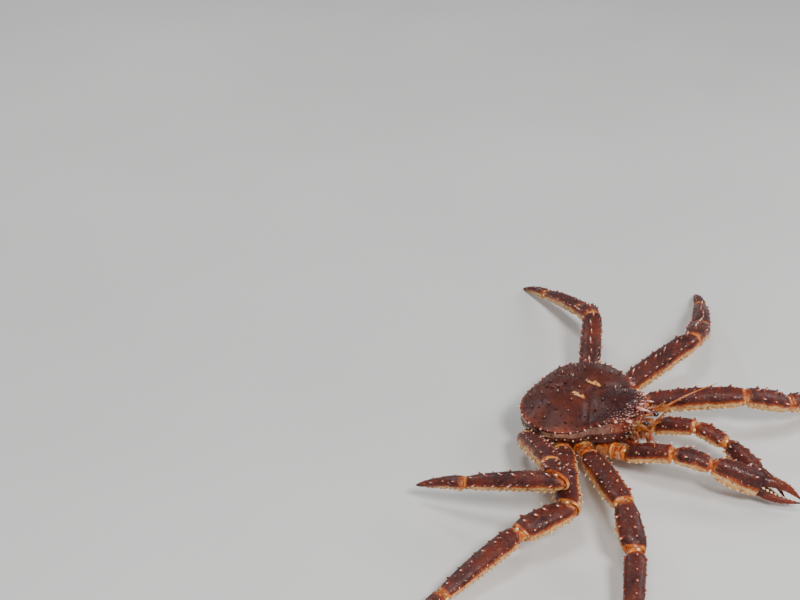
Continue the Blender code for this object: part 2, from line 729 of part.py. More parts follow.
def claw_leg(builder, side):
    """A claw leg: hip, merus, carpus, palm with its fixed finger, and the moving finger."""
    size = CLAW[side]["size"]
    palm = CLAW[side]["palm"]
    finger_length = CLAW[side]["lengths"][3]
    joints = limb_joints(side, 1)
    axis = (joints[4] - joints[3]).normalized()
    wrist = [size[k] * CARPUS_PROFILE[-1][k + 1] / palm[k] for k in range(2)]
    palm_profile = ((0.0, *wrist), *PALM_PROFILE)
    profiles = (hip_profile(size), MERUS_PROFILE, CARPUS_PROFILE, palm_profile)
    segments = limb_segments(joints, profiles, (HIP_SIZE, size, size, palm), CLAW_BOWS, axis,
                             GAP / 2)
    rng = Random(len(side))
    rows = ((), CLAW_MERUS_ROWS, CLAW_CARPUS_ROWS)
    for name, segment, own_rows in zip(("hip", "merus", "carpus"), segments, rows):
        label = f"{side}_claw_{name}"
        spines = rows_on(segment, own_rows, rng)
        builder.add(label, segment.mesh(label), "claw", segment.start, spines)
    hand = segments[3]
    tall = palm[1] * palm_profile[-1][2]
    radius = tall * 0.42
    end = joints[4]
    fixed = claw_finger("fixed", end, hand.axis, hand.up, finger_length,
                        [-tall * f for f in (0.50, 0.52, 0.60, 0.56, 0.40, 0.16)],
                        [radius * f for f in (0.80, 0.94, 0.86, 0.70, 0.46, 0.12)], -0.012)
    label = f"{side}_claw_palm"
    spines = rows_on(hand, PALM_ROWS, rng)
    builder.add(label, hand.mesh(label), "claw", hand.start, [fixed, *spines])
    label = f"{side}_claw_finger"
    moving = claw_finger(label, end, hand.axis, hand.up, finger_length * 0.97,
                         [tall * f for f in (0.50, 0.66, 0.64, 0.44, 0.14)],
                         [radius * f for f in (1.0, 0.90, 0.74, 0.48, 0.12)], GAP)
    builder.add(label, moving, "claw", end)
    return segments[0].socket(0.022, 0.85)


def eye_parts(builder, side, out):
    """An eyestalk and its eye; returns the stub under the stalk."""
    root = Vector((out * EYE_ROOT[0], EYE_ROOT[1], EYE_ROOT[2]))
    reach = Vector((out * 0.25, -0.88, 0.40)).normalized()
    stalk_end = root + reach * STALK_LENGTH
    points = [root, root + reach * 0.005, stalk_end]
    stalk = tube("stalk", points, (0.0024, 0.0020, 0.0026))
    builder.add(f"{side}_eyestalk", stalk, "eyestalk", root)
    places = (0.0, 0.0012, 0.0030, 0.0048, 0.0060, 0.0066)
    widths = (0.0026, 0.0034, 0.0038, 0.0033, 0.0020, 0.0008)
    ball = tube("eye", [stalk_end + reach * p for p in places], widths, 8, GAP)
    builder.add(f"{side}_eye", ball, "eye", stalk_end)
    return stub(root, reach, 0.0024, 0.012)


def antenna_parts(builder, side, out):
    """The long feeler that curves up and out; returns the stub under it."""
    root = Vector((out * ANTENNA_ROOT[0], ANTENNA_ROOT[1], ANTENNA_ROOT[2]))
    reach = Vector((out * 0.30, -0.84, 0.44)).normalized()
    bend = Vector((out * 0.45, -0.60, 0.66)).normalized()
    sag = Vector((out * 0.50, -0.10, -0.30))
    points = [root + reach * (0.008 * k) for k in range(4)]
    for k in range(1, WHIP_RINGS + 1):
        run = WHIP_STEP * k
        points.append(points[3] + bend * run + sag * (run * run / 0.08))
    widths = [0.0036, 0.0036, 0.0030, 0.0022]
    widths += [0.0018 - 0.00016 * k for k in range(1, WHIP_RINGS + 1)]
    builder.add(f"{side}_antenna", tube("antenna", points, widths), "feeler", root)
    return stub(root, reach, 0.0036, 0.008)


def antennule_parts(builder, side, out):
    """The short feeler between the eyes that turns up; returns the stub under it."""
    root = Vector((out * ANTENNULE_ROOT[0], ANTENNULE_ROOT[1], ANTENNULE_ROOT[2]))
    reach = Vector((out * 0.20, -0.95, 0.02)).normalized()
    points = [root, root + reach * 0.009, root + reach * 0.017]
    points += [points[2] + Vector((out * 0.002, -0.002, 0.0045)) * k for k in range(1, 5)]
    widths = (0.0020, 0.0018, 0.0015, 0.0013, 0.0013, 0.0010, 0.0006)
    builder.add(f"{side}_antennule", tube("antennule", points, widths), "feeler", root)
    return stub(root, reach, 0.0020, 0.010)


def mouth_parts(builder, side, out):
    """The outer mouth leg, folded down in front of the mouth; returns the stub under it."""
    root = Vector((out * MOUTH_ROOT[0], MOUTH_ROOT[1], MOUTH_ROOT[2]))
    reach = Vector((out * 0.15, -0.95, 0.05)).normalized()
    elbow = root + reach * 0.021
    points = [root, root + reach * 0.012, elbow]
    for inward, ahead, down in ((0.001, 0.004, 0.004), (0.002, 0.004, 0.011), (0.003, 0.001, 0.018)):
        points.append(elbow - Vector((out * inward, ahead, down)))
    widths = (0.0044, 0.0046, 0.0040, 0.0034, 0.0026, 0.0010)
    builder.add(f"{side}_mouth_leg", tube("mouth_leg", points, widths, 8), "limb", root)
    return stub(root, reach, 0.0044, 0.016, 8)


def build():
    clear_scene()
    builder = Builder()
    outline = closed_outline(OUTLINE_SIDES)
    on_carapace = carapace_spines(outline)
    on_thorax = []
    for side, out in (("right", -1), ("left", 1)):
        on_carapace.append(eye_parts(builder, side, out))
        on_carapace.append(antenna_parts(builder, side, out))
        on_carapace.append(antennule_parts(builder, side, out))
        on_thorax.append(mouth_parts(builder, side, out))
        on_thorax.append(claw_leg(builder, side))
        for number in WALKING:
            on_thorax.append(walking_leg(builder, side, number))
    builder.add("carapace", carapace_mesh(outline), "carapace", (0, 0, CUT_Z), on_carapace)
    builder.add("thorax", thorax_mesh(outline), "thorax", (0, 0, BELLY_THICKNESS), on_thorax)
    builder.add("abdomen", abdomen_mesh(), "abdomen", (0, 0, 0))


build()
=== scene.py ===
"""The look of a life-size red king crab, dressed over its solids, in metres with +Z up.

The crab faces -Y and its left side is +X. Shell and limbs follow the same named sizes as the
solids, at a finer scale, and every piece rides with the one body.
"""

import bmesh
import bpy
import numpy as np
from dataclasses import dataclass
from math import asin, atan2, copysign, cos, degrees, exp, hypot, pi, radians, sin, sqrt
from random import Random
from mathutils import Matrix, Vector


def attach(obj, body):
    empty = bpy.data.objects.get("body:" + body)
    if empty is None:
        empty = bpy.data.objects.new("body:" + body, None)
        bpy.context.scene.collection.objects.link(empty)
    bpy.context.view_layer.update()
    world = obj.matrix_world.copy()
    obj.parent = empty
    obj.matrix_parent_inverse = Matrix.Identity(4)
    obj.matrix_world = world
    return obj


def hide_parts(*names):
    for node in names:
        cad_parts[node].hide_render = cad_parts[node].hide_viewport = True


def vec(x, y, z):
    return Vector((x, y, z))


def unit(x, y, z):
    return Vector((x, y, z)).normalized()


def both_sides(*rows):
    """Each row of spines, and its mirror image unless it runs along the top or the bottom."""
    found = []
    for row in rows:
        found.append(row)
        if abs(row[0]) != 90:
            found.append((180 - row[0], *row[1:]))
    return tuple(found)


GAP = 0.0003
UP = vec(0, 0, 1)

# Body, from the floor up; the margin rises towards the face between the two places of LIFT_Y
BELLY_THICKNESS = 0.012
MARGIN_Z = 0.063
DOME_RISE = 0.019
HALF_WIDTH = 0.096
FRONT_Y = -0.084
REAR_Y = 0.073
CENTRE = Vector((0, 0.004))
FRONT_LIFT = 0.014
LIFT_Y = (-0.025, -0.070)

# Half outline of the carapace, as fractions of the half width and of the reach ahead or behind
HALF_OUTLINE = (
    (0.11, -1.00), (0.19, -0.95), (0.30, -0.93), (0.42, -0.79), (0.52, -0.63), (0.59, -0.48),
    (0.74, -0.37), (0.87, -0.22), (0.97, -0.02), (1.00, 0.24), (0.94, 0.50), (0.79, 0.76),
    (0.55, 0.94), (0.27, 1.00),
)
SOLID_SIDES = 56
FINE_SIDES = 392
FINE_RINGS = 96

# Lobes of the carapace: middle across, middle along, reach across, reach along, height
LOBES = (
    (0, -0.040, 0.030, 0.026, 0.0070), (0, 0.020, 0.012, 0.024, 0.0045),
    (0, 0.056, 0.016, 0.012, 0.0025), (0.050, 0.018, 0.030, 0.036, 0.0060),
    (-0.050, 0.018, 0.030, 0.036, 0.0060),
)
GROOVE_DEPTH = 0.0042
GROOVE_REACH = 0.0072

# Grooves: where the neck groove crosses the middle and how it slants, then where the long ones
# beside the heart region lie and how they slant, and where they begin and end and how softly
NECK_Y = -0.008
NECK_SLANT = 0.50
BESIDE_X = 0.018
BESIDE_Y = -0.012
BESIDE_SLANT = 0.06
BESIDE_START = (-0.010, 0.004)
BESIDE_END = (0.050, 0.005)

# Limbs
SQUARENESS = 2.3
HIP_PITCH = 12
HIP_SIZE = (0.0112, 0.0105)
WALKING = {
    2: dict(lengths=(0.135, 0.068, 0.115, 0.066), size=(0.0162, 0.0136)),
    3: dict(lengths=(0.142, 0.072, 0.124, 0.070), size=(0.0168, 0.0140)),
    4: dict(lengths=(0.122, 0.046, 0.117, 0.0705), size=(0.0156, 0.0132)),
}
CLAW = {
    "right": dict(lengths=(0.066, 0.048, 0.066, 0.056), size=(0.0125, 0.0125), palm=(0.0135, 0.0185)),
    "left": dict(lengths=(0.060, 0.044, 0.056, 0.048), size=(0.0112, 0.0112), palm=(0.0112, 0.0150)),
}
ROOTS = {
    1: (-0.034, -0.061, 0.027), 2: (-0.052, -0.024, 0.027),
    3: (-0.054, 0.006, 0.027), 4: (-0.050, 0.036, 0.027),
}
HIP_LENGTH = {1: 0.028, 2: 0.041, 3: 0.047, 4: 0.046}

# Directions of hip, merus, carpus, propodus and dactyl: yaw forward of straight out to the side,
# then the pitch of merus, carpus and propodus, in degrees
POSE = {
    ("right", 1): ((82, 95, 108, 112), (20, -6, -16)),
    ("right", 2): ((49, 47, 41, 27, 20), (11, -16, -12)),
    ("right", 3): ((36, 33.2, -27, -12, -8), (7.6, -10.4, -11)),
    ("right", 4): ((3, 47.2, 38.4, -70, -79.5), (19.8, 12.5, -14)),
    ("left", 1): ((76, 84, 88, 104), (18, -10, -18)),
    ("left", 2): ((45, 66, 42, 24, 18), (13, -16, -14)),
    ("left", 3): ((23, 16, -14, -24, -30), (12, -14, -14)),
    ("left", 4): ((-12, -28, -46, -60, -66), (14, -16, -15)),
}

# Height of a walking leg's tip, where it is held above the floor
RAISED_TIPS = {("right", 4): 0.032}

# Bends sharper than these cut the shells back on the inner side, and turn on a hinge of their own
LEAST_BEND = 0.12
LEAST_HINGE = 0.15

# Widths along each segment: place from root to tip, then factors across and in height
HIP_PROFILE = ((0.0, 1.0, 1.0), (0.35, 1.08, 1.04), (0.8, 0.98, 0.95))
MERUS_PROFILE = ((0.0, 0.70, 0.75), (0.08, 0.92, 0.92), (0.35, 1.0, 1.0), (0.75, 0.98, 0.98),
                 (0.92, 0.92, 0.92), (1.0, 0.70, 0.72))
CARPUS_PROFILE = ((0.0, 0.70, 0.72), (0.18, 0.88, 0.88), (0.60, 0.98, 0.96), (0.86, 0.92, 0.90),
                  (1.0, 0.64, 0.66))
PROPODUS_PROFILE = ((0.0, 0.64, 0.66), (0.10, 0.80, 0.80), (0.45, 0.78, 0.78), (0.85, 0.64, 0.64),
                    (1.0, 0.50, 0.50))
DACTYL_PROFILE = ((0.0, 0.50, 0.50), (0.10, 0.58, 0.58), (0.45, 0.46, 0.48), (0.78, 0.28, 0.30),
                  (1.0, 0.11, 0.12))
PALM_PROFILE = ((0.16, 0.82, 0.80), (0.45, 1.0, 1.0), (0.80, 0.98, 1.0), (1.0, 0.86, 0.92))

# How much of a hip is orange and cream instead of dark, and how much higher its pale side begins
HIP_RUST = 0.80
HIP_LIFT = 0.20

# The same height for the claws, and for the side that faces ahead on these legs' meri
CLAW_LIFT = -0.10
MERUS_FRINGE = 0.42
PALE_AHEAD = (("right", 2), ("right", 3))

# How far the middle of each segment is bowed up, from hip to dactyl
LEG_BOWS = (0.0, 0.002, 0.001, 0.002, 0.003)
CLAW_BOWS = (0.0, 0.002, 0.002, 0.0)

# Rows of the large spines, as in the solids: degrees around the segment from its side, first and
# last place, how many, and how long; the last number is the step at which small ones fill the row
MERUS_ROWS = both_sides((90, 0.12, 0.90, 6, 0.0078, 0.0085), (42, 0.18, 0.86, 5, 0.0062, 0.0080),
                        (-20, 0.26, 0.78, 5, 0.0058, 0.0062))
CARPUS_ROWS = both_sides((90, 0.22, 0.80, 4, 0.0078, 0.0085), (38, 0.30, 0.78, 3, 0.0066, 0.0080),
                         (-10, 0.50, 0.60, 1, 0.0055, 0.0062))
PROPODUS_ROWS = both_sides((90, 0.10, 0.90, 6, 0.0062, 0.0080), (25, 0.12, 0.86, 5, 0.0052, 0.0066),
                           (-90, 0.30, 0.90, 4, 0.0042, 0.0080))
DACTYL_ROWS = both_sides((60, 0.14, 0.60, 3, 0.0038, 0.0070), (-90, 0.20, 0.62, 3, 0.0042, 0.0060))
CLAW_MERUS_ROWS = both_sides((90, 0.18, 0.88, 3, 0.0080, 0.0085), (30, 0.30, 0.86, 3, 0.0070, 0.0080))
CLAW_CARPUS_ROWS = both_sides((90, 0.24, 0.82, 3, 0.0080, 0.0085), (30, 0.34, 0.80, 2, 0.0078, 0.0080))
PALM_ROWS = both_sides((90, 0.14, 0.84, 4, 0.0070, 0.0080), (40, 0.18, 0.82, 3, 0.0060, 0.0075),
                       (0, 0.30, 0.80, 2, 0.0040, 0.0070))
LEG_PARTS = (("hip", ()), ("merus", MERUS_ROWS), ("carpus", CARPUS_ROWS), ("propodus", PROPODUS_ROWS),
             ("dactyl", DACTYL_ROWS))
CLAW_PARTS = (("hip", ()), ("merus", CLAW_MERUS_ROWS), ("carpus", CLAW_CARPUS_ROWS), ("palm", PALM_ROWS))

# Rows of flat pale teeth instead of round spines, and the teeth low on each side
EDGE_ROWS = (-20, 200, -10, 190, -90)
KEEL_ANGLES = (-40, 220)
KEEL_STEP = 0.0072
KEEL_TOOTH = 0.0050
KEEL_SPAN = (0.08, 0.94)

SPINE_SLIMNESS = 0.32
SPINE_LEAN = 0.55
SPINE_VARIATION = 0.16

# How many granules a square metre would have
HIP_GRANULES = 60000
LEG_GRANULES = 50000
CLAW_GRANULES = 70000

# Claw fingers: piece and node, start past the wrist, share of the finger length, drop from the
# hand's middle and radius at even steps, both as shares, and the side that faces the other one
FINGERS = (
    ("fixed_finger", "palm", -0.012, 1.0, (-0.50, -0.52, -0.60, -0.56, -0.40, -0.16),
     (0.80, 0.94, 0.86, 0.70, 0.46, 0.12), 1),
    ("moving_finger", "finger", -0.004, 0.97, (0.46, 0.56, 0.66, 0.64, 0.44, 0.14),
     (0.86, 1.0, 0.92, 0.74, 0.48, 0.12), -1),
)
FINGER_RADIUS = 0.42
FINGER_TEETH = 9
FINGER_TUFTS = 30
TUFT_HAIRS = 9

# Spines of the carapace
SMALL_SPINES = 90
BACK_GRANULES = 1700
BACK_SPINE = 0.0062
MARGIN_SPINE = 0.0078
MARGIN_STEP = 2
GILL_RINGS = ((0.44, 3), (0.66, 4), (0.85, 5))
GILL_ANGLES = (-22, 78)
BEAK_LENGTH = 0.023
BEAK_RADIUS = 0.005

# How the edge of the shield rolls in: share of the outline and drop below the margin
EDGE_ROLL = ((1.006, 0.0006), (1.008, 0.0014), (1.004, 0.0022), (0.992, 0.0028), (0.965, 0.0030))

# Spines beside the beak and over the eyes: place across, behind the front and above the margin,
# way they point, length and radius
FACE_SPINES = (
    (0.0035, 0.006, 0.006, (0.35, -0.75, 0.60), 0.0085, 0.0024),
    (0.0290, 0.008, -0.001, (0.20, -1.00, 0.18), 0.0120, 0.0032),
    (0.0380, 0.020, -0.001, (0.50, -0.85, 0.30), 0.0100, 0.0030),
)

# Small ones between them: place across, behind the front and above the margin, how far each
# points out and up, and its length
SMALL_FACE_SPINES = (
    (0.006, 0.016, 0.006, 0.3, 0.9, 0.0060), (0.014, 0.012, 0.001, 0.3, 0.5, 0.0055),
    (0.021, 0.012, 0.001, 0.2, 0.6, 0.0062), (0.035, 0.018, 0.001, 0.5, 0.6, 0.0058),
    (0.010, 0.010, -0.002, 0.1, -0.1, 0.0058), (0.024, 0.010, -0.002, 0.1, -0.1, 0.0052),
    (0.044, 0.032, 0.001, 0.8, 0.5, 0.0062), (0.018, 0.024, 0.006, 0.2, 1.2, 0.0056),
)

# Roots of the face's parts on the left side
EYE_ROOT = (0.0095, -0.0850, 0.0665)
ANTENNA_ROOT = (0.0235, -0.0806, 0.0625)
ANTENNULE_ROOT = (0.0075, -0.0850, 0.0590)
MOUTH_ROOT = (0.0120, -0.0680, 0.0340)
STALK_LENGTH = 0.013
WHIP_RINGS = 8
WHIP_STEP = 0.0085

# Spines of an antenna: place along it, turn round it in radians, length
ANTENNA_SPINES = (
    (0.002, 0.4, 0.0105), (0.004, 2.6, 0.0080), (0.010, 1.4, 0.0062), (0.012, -0.4, 0.0056),
    (0.006, 1.5, 0.0078), (0.001, 1.3, 0.0092), (0.003, -0.6, 0.0085), (0.007, 3.4, 0.0066),
    (0.009, 0.5, 0.0070),
)

# The painted highlight on the carapace, a pale glint on the left and its mirror image on the right: middle,
# slant, half length and half width
GLINT_X = 0.019
GLINT_TILT = 0.10
GLINT_LENGTH = 0.0125
GLINT_WIDTH = 0.0040

# How far the edges of the tail's plates arch back at their sides, as a share of its length
PLATE_ARCH = 0.045

# Plates of the tail: how many, depth of their seams, height of their crests; and their lumps: how
# many, height and reach; then the tail's length, and the share of it that lumps and crests stand on
PLATES = 6.5
SEAM_DEPTH = 0.0013
CREST_HEIGHT = 0.0012
LUMPS = 230
LUMP_HEIGHT = 0.0013
LUMP_REACH = 0.0024
TAIL_LENGTH = 0.16
LUMPY_SHARE = 0.44

# Side wall: height at which it ends between the hips, and its levels from the margin down, each
# a share of the outline, a height and a place in the bands of colour
WALL_END = 0.0396
WALL_LOWERED_BELOW = 0.0560
WALL_RAISED = (0.0450, 0.0606)
HIP_TOP = 0.0500
WALL_LEVELS = (
    (0.930, 0.0612, 0.0), (0.980, 0.0606, 0.02), (0.987, 0.0585, 0.12), (0.986, 0.0560, 0.22),
    (0.980, 0.0535, 0.30), (0.974, 0.0515, 0.38), (0.981, 0.0498, 0.45), (0.986, 0.0475, 0.52),
    (0.984, 0.0450, 0.60), (0.975, 0.0425, 0.68), (0.966, 0.0408, 0.74), (0.950, 0.0398, 0.80),
    (0.925, 0.0396, 0.86), (0.860, 0.0402, 0.92), (0.700, 0.0415, 1.00), (0.450, 0.0420, 1.00),
)

# The column under the shield from the top down: share of its height, Z, half width, and reach ahead
# and behind
BREAST_LEVELS = (
    (0.0, 0.0490, 0.044, 0.072, 0.046), (0.33, 0.0360, 0.039, 0.069, 0.044),
    (0.72, 0.0220, 0.038, 0.062, 0.042), (1.0, BELLY_THICKNESS + GAP, 0.034, 0.052, 0.038),
)

# Opening in the side wall for the root of the tail: where it begins, half width, rise and slope
OPENING_Y = 0.045
OPENING_HALF = 0.048
OPENING_RISE = 0.013
OPENING_SLOPE = 0.012

# The tail's path from its root down and forward: share of its length, Y, Z and half width
TAIL_BACK_Y = 0.0585
TAIL_PATH = (
    (0.0, 0.0605, 0.0535, 0.022), (0.06, 0.0591, 0.0470, 0.027), (0.20, TAIL_BACK_Y, 0.0350, 0.031),
    (0.34, TAIL_BACK_Y, 0.0210, 0.036), (0.43, 0.0565, 0.0120, 0.038), (0.50, 0.0485, 0.0066, 0.040),
    (0.60, 0.0350, 0.006, 0.0415), (0.72, 0.0140, 0.006, 0.0405), (0.84, -0.0080, 0.006, 0.0330),
    (0.93, -0.0250, 0.006, 0.0215), (1.0, -0.0380, 0.006, 0.0110),
)

# Studio: floor, soft lights with their place, size and power, and an even light from above
FLOOR_SIZE = 60
SOFT_LIGHTS = (
    ("key", (-1.1, -1.5, 2.0), 0.5, 62),
    ("fill", (1.8, -1.2, 1.5), 0.9, 20),
    ("rim", (0.6, 2.2, 1.8), 0.5, 13),
)
SKY_POWER = 1.0
SKY_ANGLE = radians(16)
SKY_PLACE = (-0.5, 0.3, 2.6)
LIT_SPOT = vec(0, 0, 0.05)
SURROUND = (0.90, 0.93, 1.00, 1.0)
SURROUND_POWER = 0.34

# Camera
LENS = 55
SENSOR = 36
FRAME = (800, 600)
VIEW_AZIMUTH = radians(-63)
VIEW_ELEVATION = radians(33.6)
VIEW_DISTANCE = 1.70
VIEW_TARGET = vec(0, 0, 0.062)
TARGET_PIXEL = (585, 400)


def tone(red, green, blue):
    """A colour from its 0 to 255 screen values, as the linear values that shaders take."""
    def linear(value):
        value /= 255
        return value / 12.92 if value <= 0.04045 else ((value + 0.055) / 1.055) ** 2.4
    return linear(red), linear(green), linear(blue), 1.0


MAROON = tone(72, 25, 14)
DEEP_MAROON = tone(40, 13, 10)
RED_BROWN = tone(98, 39, 20)
PLUM = tone(48, 22, 24)
GREY_PLUM = tone(84, 58, 58)
PURPLE_BROWN = tone(80, 36, 31)
LIMB_DARK = tone(48, 20, 20)
LIMB_RED = tone(106, 40, 23)
CREAM = tone(226, 184, 124)
GOLD = tone(204, 134, 54)
TAN = tone(158, 102, 66)
ORANGE = tone(196, 90, 26)
ORANGE_RED = tone(146, 44, 18)
DARK_RED = tone(70, 13, 10)
PINK_WHITE = tone(242, 212, 192)
BONE = tone(238, 218, 178)
HORN = tone(40, 24, 20)
AMBER = tone(214, 132, 44)


class Look:
    """A wet shell material whose colour, gloss and relief come from nodes."""

    def __init__(self, name, coat=0.22, coat_roughness=0.12, specular=0.25, subsurface=0.0):
        self.made = bpy.data.materials.new(name)
        self.made.use_nodes = True
        self.tree = self.made.node_tree
        self.sockets = self.tree.nodes["Principled BSDF"].inputs
        for key, value in (("Coat Weight", coat), ("Coat Roughness", coat_roughness),
                           ("Specular IOR Level", specular), ("Subsurface Weight", subsurface),
                           ("Subsurface Scale", 0.004)):
            self.feed(self.sockets[key], value)
        self.place = self.put("TexCoord").outputs["Object"]

    def put(self, kind, inputs=None, **settings):
        node = self.tree.nodes.new("ShaderNode" + kind)
        for key, value in settings.items():
            setattr(node, key, value)
        for key, value in (inputs or {}).items():
            self.feed(node.inputs[key], value)
        return node

    def feed(self, socket, value):
        if isinstance(value, bpy.types.NodeSocket):
            self.tree.links.new(value, socket)
        else:
            socket.default_value = value

    def value(self, name):
        """A number that the mesh carries at each point."""
        return self.put("Attribute", attribute_name=name).outputs["Fac"]

    def axis(self, name):
        """The place along X, Y or Z."""
        return self.put("SeparateXYZ", {"Vector": self.place}).outputs[name]

    def noise(self, scale, detail=4.0, rough=0.6, warp=0.0):
        inputs = {"Vector": self.place, "Scale": scale, "Detail": detail, "Roughness": rough,
                  "Distortion": warp}
        return self.put("TexNoise", inputs).outputs["Fac"]

    def cells(self, scale, feature="F1"):
        inputs = {"Vector": self.place, "Scale": scale}
        return self.put("TexVoronoi", inputs, feature=feature).outputs["Distance"]

    def ramp(self, value, *stops):
        node = self.put("ValToRGB", {"Fac": value})
        points = node.color_ramp.elements
        while len(points) < len(stops):
            points.new(0.5)
        for point, (place, colour) in zip(points, stops):
            point.position = place
            point.color = colour
        return node.outputs["Color"]

    def mix(self, share, first, second):
        node = self.put("Mix", data_type="RGBA")
        for index, value in ((0, share), (6, first), (7, second)):
            self.feed(node.inputs[index], value)
        return node.outputs[2]

    def maths(self, operation, first, second):
        return self.put("Math", {0: first, 1: second}, operation=operation).outputs[0]

    def step(self, value, low, high, start=0.0, end=1.0):
        inputs = {"Value": value, "From Min": low, "From Max": high, "To Min": start, "To Max": end}
        return self.put("MapRange", inputs, interpolation_type="SMOOTHSTEP").outputs["Result"]

    def cover(self, colour, top, value, low, high, most=1.0):
        """A colour with another over it as the value runs from low to high."""
        return self.mix(self.step(value, low, high, 0.0, most), colour, top)

    def ragged(self, value, noise, amount):
        """The value with its even course broken up by noise."""
        return self.maths("ADD", value, self.maths("MULTIPLY", self.maths("SUBTRACT", noise, 0.5), amount))

    def bump(self, height, distance, strength, before=None):
        inputs = {"Height": height, "Distance": distance, "Strength": strength}
        if before is not None:
            inputs["Normal"] = before
        return self.put("Bump", inputs).outputs["Normal"]

    def relief(self, grain=900, pits=420, before=None):
        """Fine granules, small pits and a slow unevenness, as on hard shell."""
        slow = self.bump(self.noise(90, 3), 0.0012, 0.35, before)
        grains = self.step(self.cells(grain, "SMOOTH_F1"), 0.15, 0.75, 1.0, 0.0)
        grainy = self.bump(grains, 0.0003, 0.40, slow)
        return self.bump(self.step(self.cells(pits), 0.05, 0.35), 0.0003, 0.25, grainy)

    def gloss(self, dry=0.46, wet=0.26):
        """Roughness that changes where the film of water is thicker."""
        return self.step(self.noise(70, 5), 0.35, 0.65, dry, wet)

    def finish(self, colour, roughness, normal):
        for key, value in (("Base Color", colour), ("Roughness", roughness), ("Normal", normal),
                           ("Coat Normal", normal)):
            self.feed(self.sockets[key], value)
        return self.made

    def finish_plain(self, colour, value, smooth, rough, height, depth, strength):
        """Roughness that follows the value, and one layer of relief."""
        roughness = self.step(value, 0.3, 0.7, smooth, rough)
        return self.finish(colour, roughness, self.bump(height, depth, strength))


def limb_look():
    """Purple-brown above, golden cream below, with pale rims and orange joints."""
    look = Look("limb_shell", coat=0.12, specular=0.2)
    wide = look.noise(34, 5, 0.62, 0.4)
    fine = look.noise(210, 4, 0.65)
    rust = look.ramp(fine, (0.42, ORANGE_RED), (0.60, ORANGE))
    base = look.ramp(wide, (0.32, LIMB_DARK), (0.52, PURPLE_BROWN), (0.70, LIMB_RED))
    base = look.cover(base, TAN, fine, 0.54, 0.72, 0.38)
    base = look.cover(base, DEEP_MAROON, look.cells(330), 0.28, 0.10, 0.55)
    pale = look.ramp(look.noise(85, 5), (0.34, GOLD), (0.50, CREAM), (0.68, TAN))
    pale = look.cover(pale, ORANGE_RED, look.cells(190), 0.26, 0.12, 0.75)
    pale = look.cover(pale, ORANGE, look.noise(150, 5), 0.54, 0.68, 0.6)
    low = look.ragged(look.value("under"), wide, 0.30)
    colour = look.cover(base, rust, low, 0.29, 0.44, 0.75)
    colour = look.cover(colour, pale, low, 0.40, 0.54)
    joint = look.ramp(fine, (0.38, ORANGE_RED), (0.52, ORANGE), (0.66, CREAM))
    joint = look.cover(joint, DARK_RED, look.cells(280), 0.28, 0.12, 0.8)
    colour = look.cover(colour, rust, look.ragged(look.value("root"), fine, 0.4), 0.30, 0.90, 0.45)
    colour = look.cover(colour, joint, look.ragged(look.value("near"), wide, 0.5), 0.30, 0.95, 0.70)
    far = look.ragged(look.value("far"), wide, 0.20)
    colour = look.cover(colour, rust, far, 0.20, 0.44, 0.8)
    patchy = look.step(look.noise(130, 4), 0.44, 0.58, 0.15, 1.0)
    ring = look.maths("MULTIPLY", look.step(far, 0.42, 0.60), patchy)
    colour = look.mix(ring, colour, look.ramp(wide, (0.36, ORANGE), (0.48, GOLD), (0.62, CREAM)))
    tip = look.ramp(fine, (0.40, LIMB_RED), (0.66, ORANGE_RED))
    colour = look.cover(colour, tip, look.ragged(look.value("claw"), wide, 0.2), 0.35, 0.85, 0.70)
    colour = look.cover(colour, HORN, look.value("claw"), 0.90, 0.98)
    return look.finish(colour, look.gloss(0.54, 0.34), look.relief())


def carapace_look():
    """Red-brown with a plum front, rusty patches by the margin, dark dots, and painted highlights: two
    golden glints.
    """
    look = Look("carapace_shell", coat=0.16, specular=0.2)
    wide = look.noise(26, 5, 0.62, 0.5)
    fine = look.noise(190, 5, 0.66)
    base = look.ramp(wide, (0.30, DEEP_MAROON), (0.48, MAROON), (0.70, RED_BROWN))
    front = look.step(look.ragged(look.axis("Y"), wide, 0.06), -0.010, -0.045, 0.0, 0.85)
    plum = look.ramp(look.noise(48, 5), (0.36, DEEP_MAROON), (0.62, PLUM))
    colour = look.mix(front, base, plum)
    colour = look.cover(colour, plum, look.ragged(look.value("groove"), wide, 0.3), 0.35, 1.0, 0.60)
    colour = look.cover(colour, LIMB_RED, fine, 0.52, 0.70, 0.50)
    colour = look.cover(colour, DEEP_MAROON, look.cells(240), 0.26, 0.08, 0.70)
    patches = look.step(look.noise(17, 3), 0.44, 0.60, 0.05, 0.42)
    edge = look.step(look.ragged(look.value("share"), wide, 0.10), 0.90, 1.0)
    rusty = look.ramp(fine, (0.40, ORANGE_RED), (0.68, ORANGE))
    colour = look.mix(look.maths("MULTIPLY", edge, patches), colour, rusty)
    colour = look.cover(colour, DEEP_MAROON, look.value("root"), 0.30, 0.85, 0.70)
    # Painted highlight: golden glints beside the heart region, gold and cream with an orange rim
    painted_glint = look.ragged(look.value("painted_glint"), look.noise(230, 4), 2.6)
    painted_glint = look.maths("MULTIPLY", painted_glint, look.step(look.value("painted_glint"), 0.05, 0.25))
    colour = look.cover(colour, ORANGE, painted_glint, 0.30, 0.55, 0.85)
    colour = look.cover(colour, look.ramp(fine, (0.4, GOLD), (0.55, CREAM)), painted_glint, 0.50, 0.70)
    waves = look.maths("MULTIPLY", look.ragged(look.value("share"), look.noise(30, 4), 0.10), 190.0)
    wrinkles = look.bump(look.maths("SINE", waves, 0.0), 0.0004, 0.07)
    rough = look.mix(front, look.gloss(0.56, 0.42), look.gloss(0.42, 0.24))
    return look.finish(colour, rough, look.relief(1000, 520, wrinkles))


